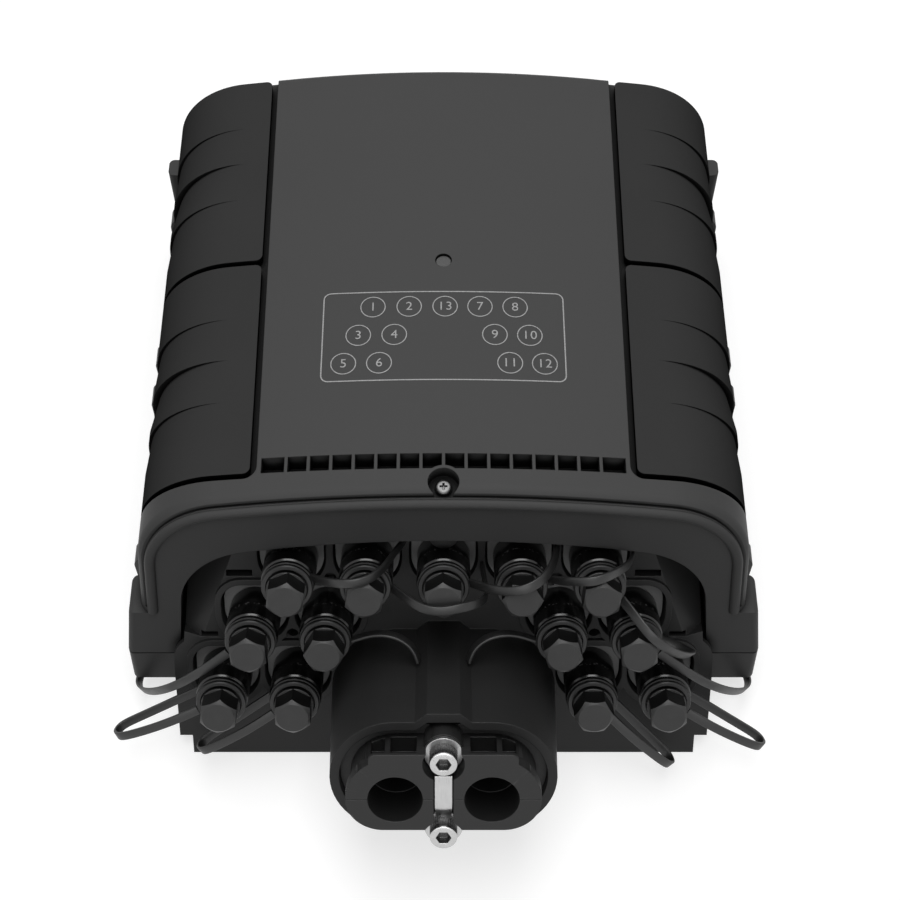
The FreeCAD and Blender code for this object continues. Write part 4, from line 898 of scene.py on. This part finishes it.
chart_ink = Finish("chart_ink")
speckle = chart_ink.noise(0.0006, 3.0)
chart_ink.set({
    "Base Color": chart_ink.blend(speckle.step(0.3, 0.75), grey(0.19), grey(0.3)),
    "Roughness": 0.4 + speckle * 0.2,
})


def lay_on_crown(piece):
    """Bends a flat print down on to the crowned top of the cover."""
    for vertex in piece.data.vertices:
        x = vertex.co.x / MM
        vertex.co.z += (COVER_TOP + INK_RISE) * MM - x * x / (2 * COVER_CROWN) * MM


def ring_print(radius, line):
    """A printed ring about the origin."""
    made = drum(radius, 0, INK_THICK, 48)
    cut(made, drum(radius - line, -OVERCUT, OVERCUT, 48))
    return made


def digits_print(text):
    """A printed number about the origin."""
    deselect()
    bpy.ops.object.text_add(location=(0, 0, 0))
    made = bpy.context.active_object
    made.data.body = text
    made.data.size = DIGIT_HEIGHT / DIGIT_SHARE * MM
    made.data.align_x = "CENTER"
    made.data.align_y = "CENTER"
    made.data.extrude = INK_THICK / 2 * MM
    made.data.space_character = DIGIT_SPACING
    bpy.ops.object.convert(target="MESH")
    return bpy.context.active_object


def frame_print():
    """The rounded frame round the chart, as a thin closed line."""
    deselect()
    middle = (FRAME_NEAR + FRAME_FAR) / 2
    bpy.ops.mesh.primitive_plane_add(size=1, location=(0, middle * MM, 0))
    made = bpy.context.active_object
    made.scale = (2 * FRAME_X * MM, (FRAME_FAR - FRAME_NEAR) * MM, 1)
    bpy.ops.object.transform_apply(location=True, rotation=True, scale=True)
    bpy.ops.object.mode_set(mode="EDIT")
    bpy.ops.mesh.select_all(action="SELECT")
    bpy.ops.mesh.bevel(offset=FRAME_CORNER * MM, segments=6, affect="VERTICES")
    bpy.ops.mesh.select_all(action="SELECT")
    bpy.ops.mesh.inset(thickness=FRAME_LINE * MM)
    bpy.ops.mesh.delete(type="FACE")
    for x in BEND_LINES:
        bpy.ops.mesh.select_all(action="SELECT")
        bpy.ops.mesh.bisect(plane_co=(x * MM, 0, 0), plane_no=(1, 0, 0))
    bpy.ops.object.mode_set(mode="OBJECT")
    thicken = made.modifiers.new("ink", "SOLIDIFY")
    thicken.thickness = INK_THICK * MM
    thicken.offset = 1.0
    bpy.ops.object.modifier_apply(modifier=thicken.name)
    return made


chart = frame_print()
for number, (x, y) in CHART.items():
    for mark in (ring_print(RING_R, RING_LINE), digits_print(str(number))):
        put(mark, Matrix.Translation((x * MM, y * MM, 0)))
        join(chart, mark)
chart.name = "port_chart"
lay_on_crown(chart)
chart.data.materials.clear()
chart.data.materials.append(chart_ink.material)
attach(chart, "box")

# Studio: a pale floor, a large soft box overhead, a smaller one in front and the camera at the
# photograph's angle. Floor and backdrop are white to the eye and in reflections.

FLOOR_SIZE = 6.0
FLOOR_DROP = 0.0002
FLOOR_WHITE = 0.45
FLOOR_LIFT = 0.66
FLOOR_FADE = (0.5, 1.1)
FLOOR_BOUNCE = 0.06
SKY = 0.08

deselect()
bpy.ops.mesh.primitive_plane_add(size=FLOOR_SIZE, location=(0, 0, -FLOOR_DROP))
floor = bpy.context.active_object
floor.name = "studio_floor"
floor_white = Finish("floor_white", Roughness=0.9, Specular_IOR_Level=0.0)
bounced = floor_white.node("ShaderNodeLightPath", output="Is Diffuse Ray")
floor_white.set({"Base Color": floor_white.blend(bounced, grey(FLOOR_WHITE), grey(FLOOR_BOUNCE))})
sockets = {0: floor_white.place}
away = floor_white.node("ShaderNodeVectorMath", {"operation": "LENGTH"}, sockets, output="Value")
lift = floor_white.blend(away.step(*FLOOR_FADE), grey(FLOOR_LIFT), grey(1.0))
floor_white.set({"Emission Color": floor_white.blend(bounced, lift, grey(0.0))})
floor_white.set({"Emission Strength": 1.0})
floor.data.materials.append(floor_white.material)

world = bpy.data.worlds.new("studio_world")
bpy.context.scene.world = world
world.use_nodes = True
nodes, links = world.node_tree.nodes, world.node_tree.links
path = nodes.new("ShaderNodeLightPath")
seen = path.outputs["Is Camera Ray"]
for ray in ("Is Glossy Ray", "Is Transmission Ray"):
    either = nodes.new("ShaderNodeMath")
    either.operation = "MAXIMUM"
    links.new(seen, either.inputs[0])
    links.new(path.outputs[ray], either.inputs[1])
    seen = either.outputs[0]
strength = nodes.new("ShaderNodeMapRange")
links.new(seen, strength.inputs["Value"])
strength.inputs["To Min"].default_value = SKY
strength.inputs["To Max"].default_value = 1.0
links.new(strength.outputs[0], nodes["Background"].inputs["Strength"])
nodes["Background"].inputs["Color"].default_value = (1, 1, 1, 1)


def soft_box(name, place, aim, width, length, power):
    """A rectangular area light that faces a point."""
    light = bpy.data.lights.new(name, "AREA")
    light.shape = "RECTANGLE"
    light.size = width
    light.size_y = length
    light.energy = power
    lamp = bpy.data.objects.new(name, light)
    bpy.context.collection.objects.link(lamp)
    lamp.location = place
    lamp.rotation_euler = (Vector(aim) - Vector(place)).to_track_quat("-Z", "Y").to_euler()


soft_box("overhead", place=(0.0, 0.15, 1.3), aim=(0, 0, 0.05), width=0.8, length=1.4, power=16.5)
soft_box("front", place=(0.0, -1.2, 0.8), aim=(0, -0.05, 0.06), width=1.2, length=0.5, power=5.8)

CAMERA_PLACE = (0.0, -0.376, 0.641)
CAMERA_PITCH = 58.5
CAMERA_LENS = 67.2
CAMERA_SENSOR = 36
CAMERA_SHIFT = 0.0072
view_camera = bpy.data.cameras.new("photo_camera")
view_camera.lens = CAMERA_LENS
view_camera.sensor_width = CAMERA_SENSOR
view_camera.shift_x = CAMERA_SHIFT
camera = bpy.data.objects.new("photo_camera", view_camera)
bpy.context.collection.objects.link(camera)
camera.location = CAMERA_PLACE
camera.rotation_euler = (math.radians(90 - CAMERA_PITCH), 0, 0)
bpy.context.scene.camera = camera
bpy.context.scene.view_settings.view_transform = "Standard"
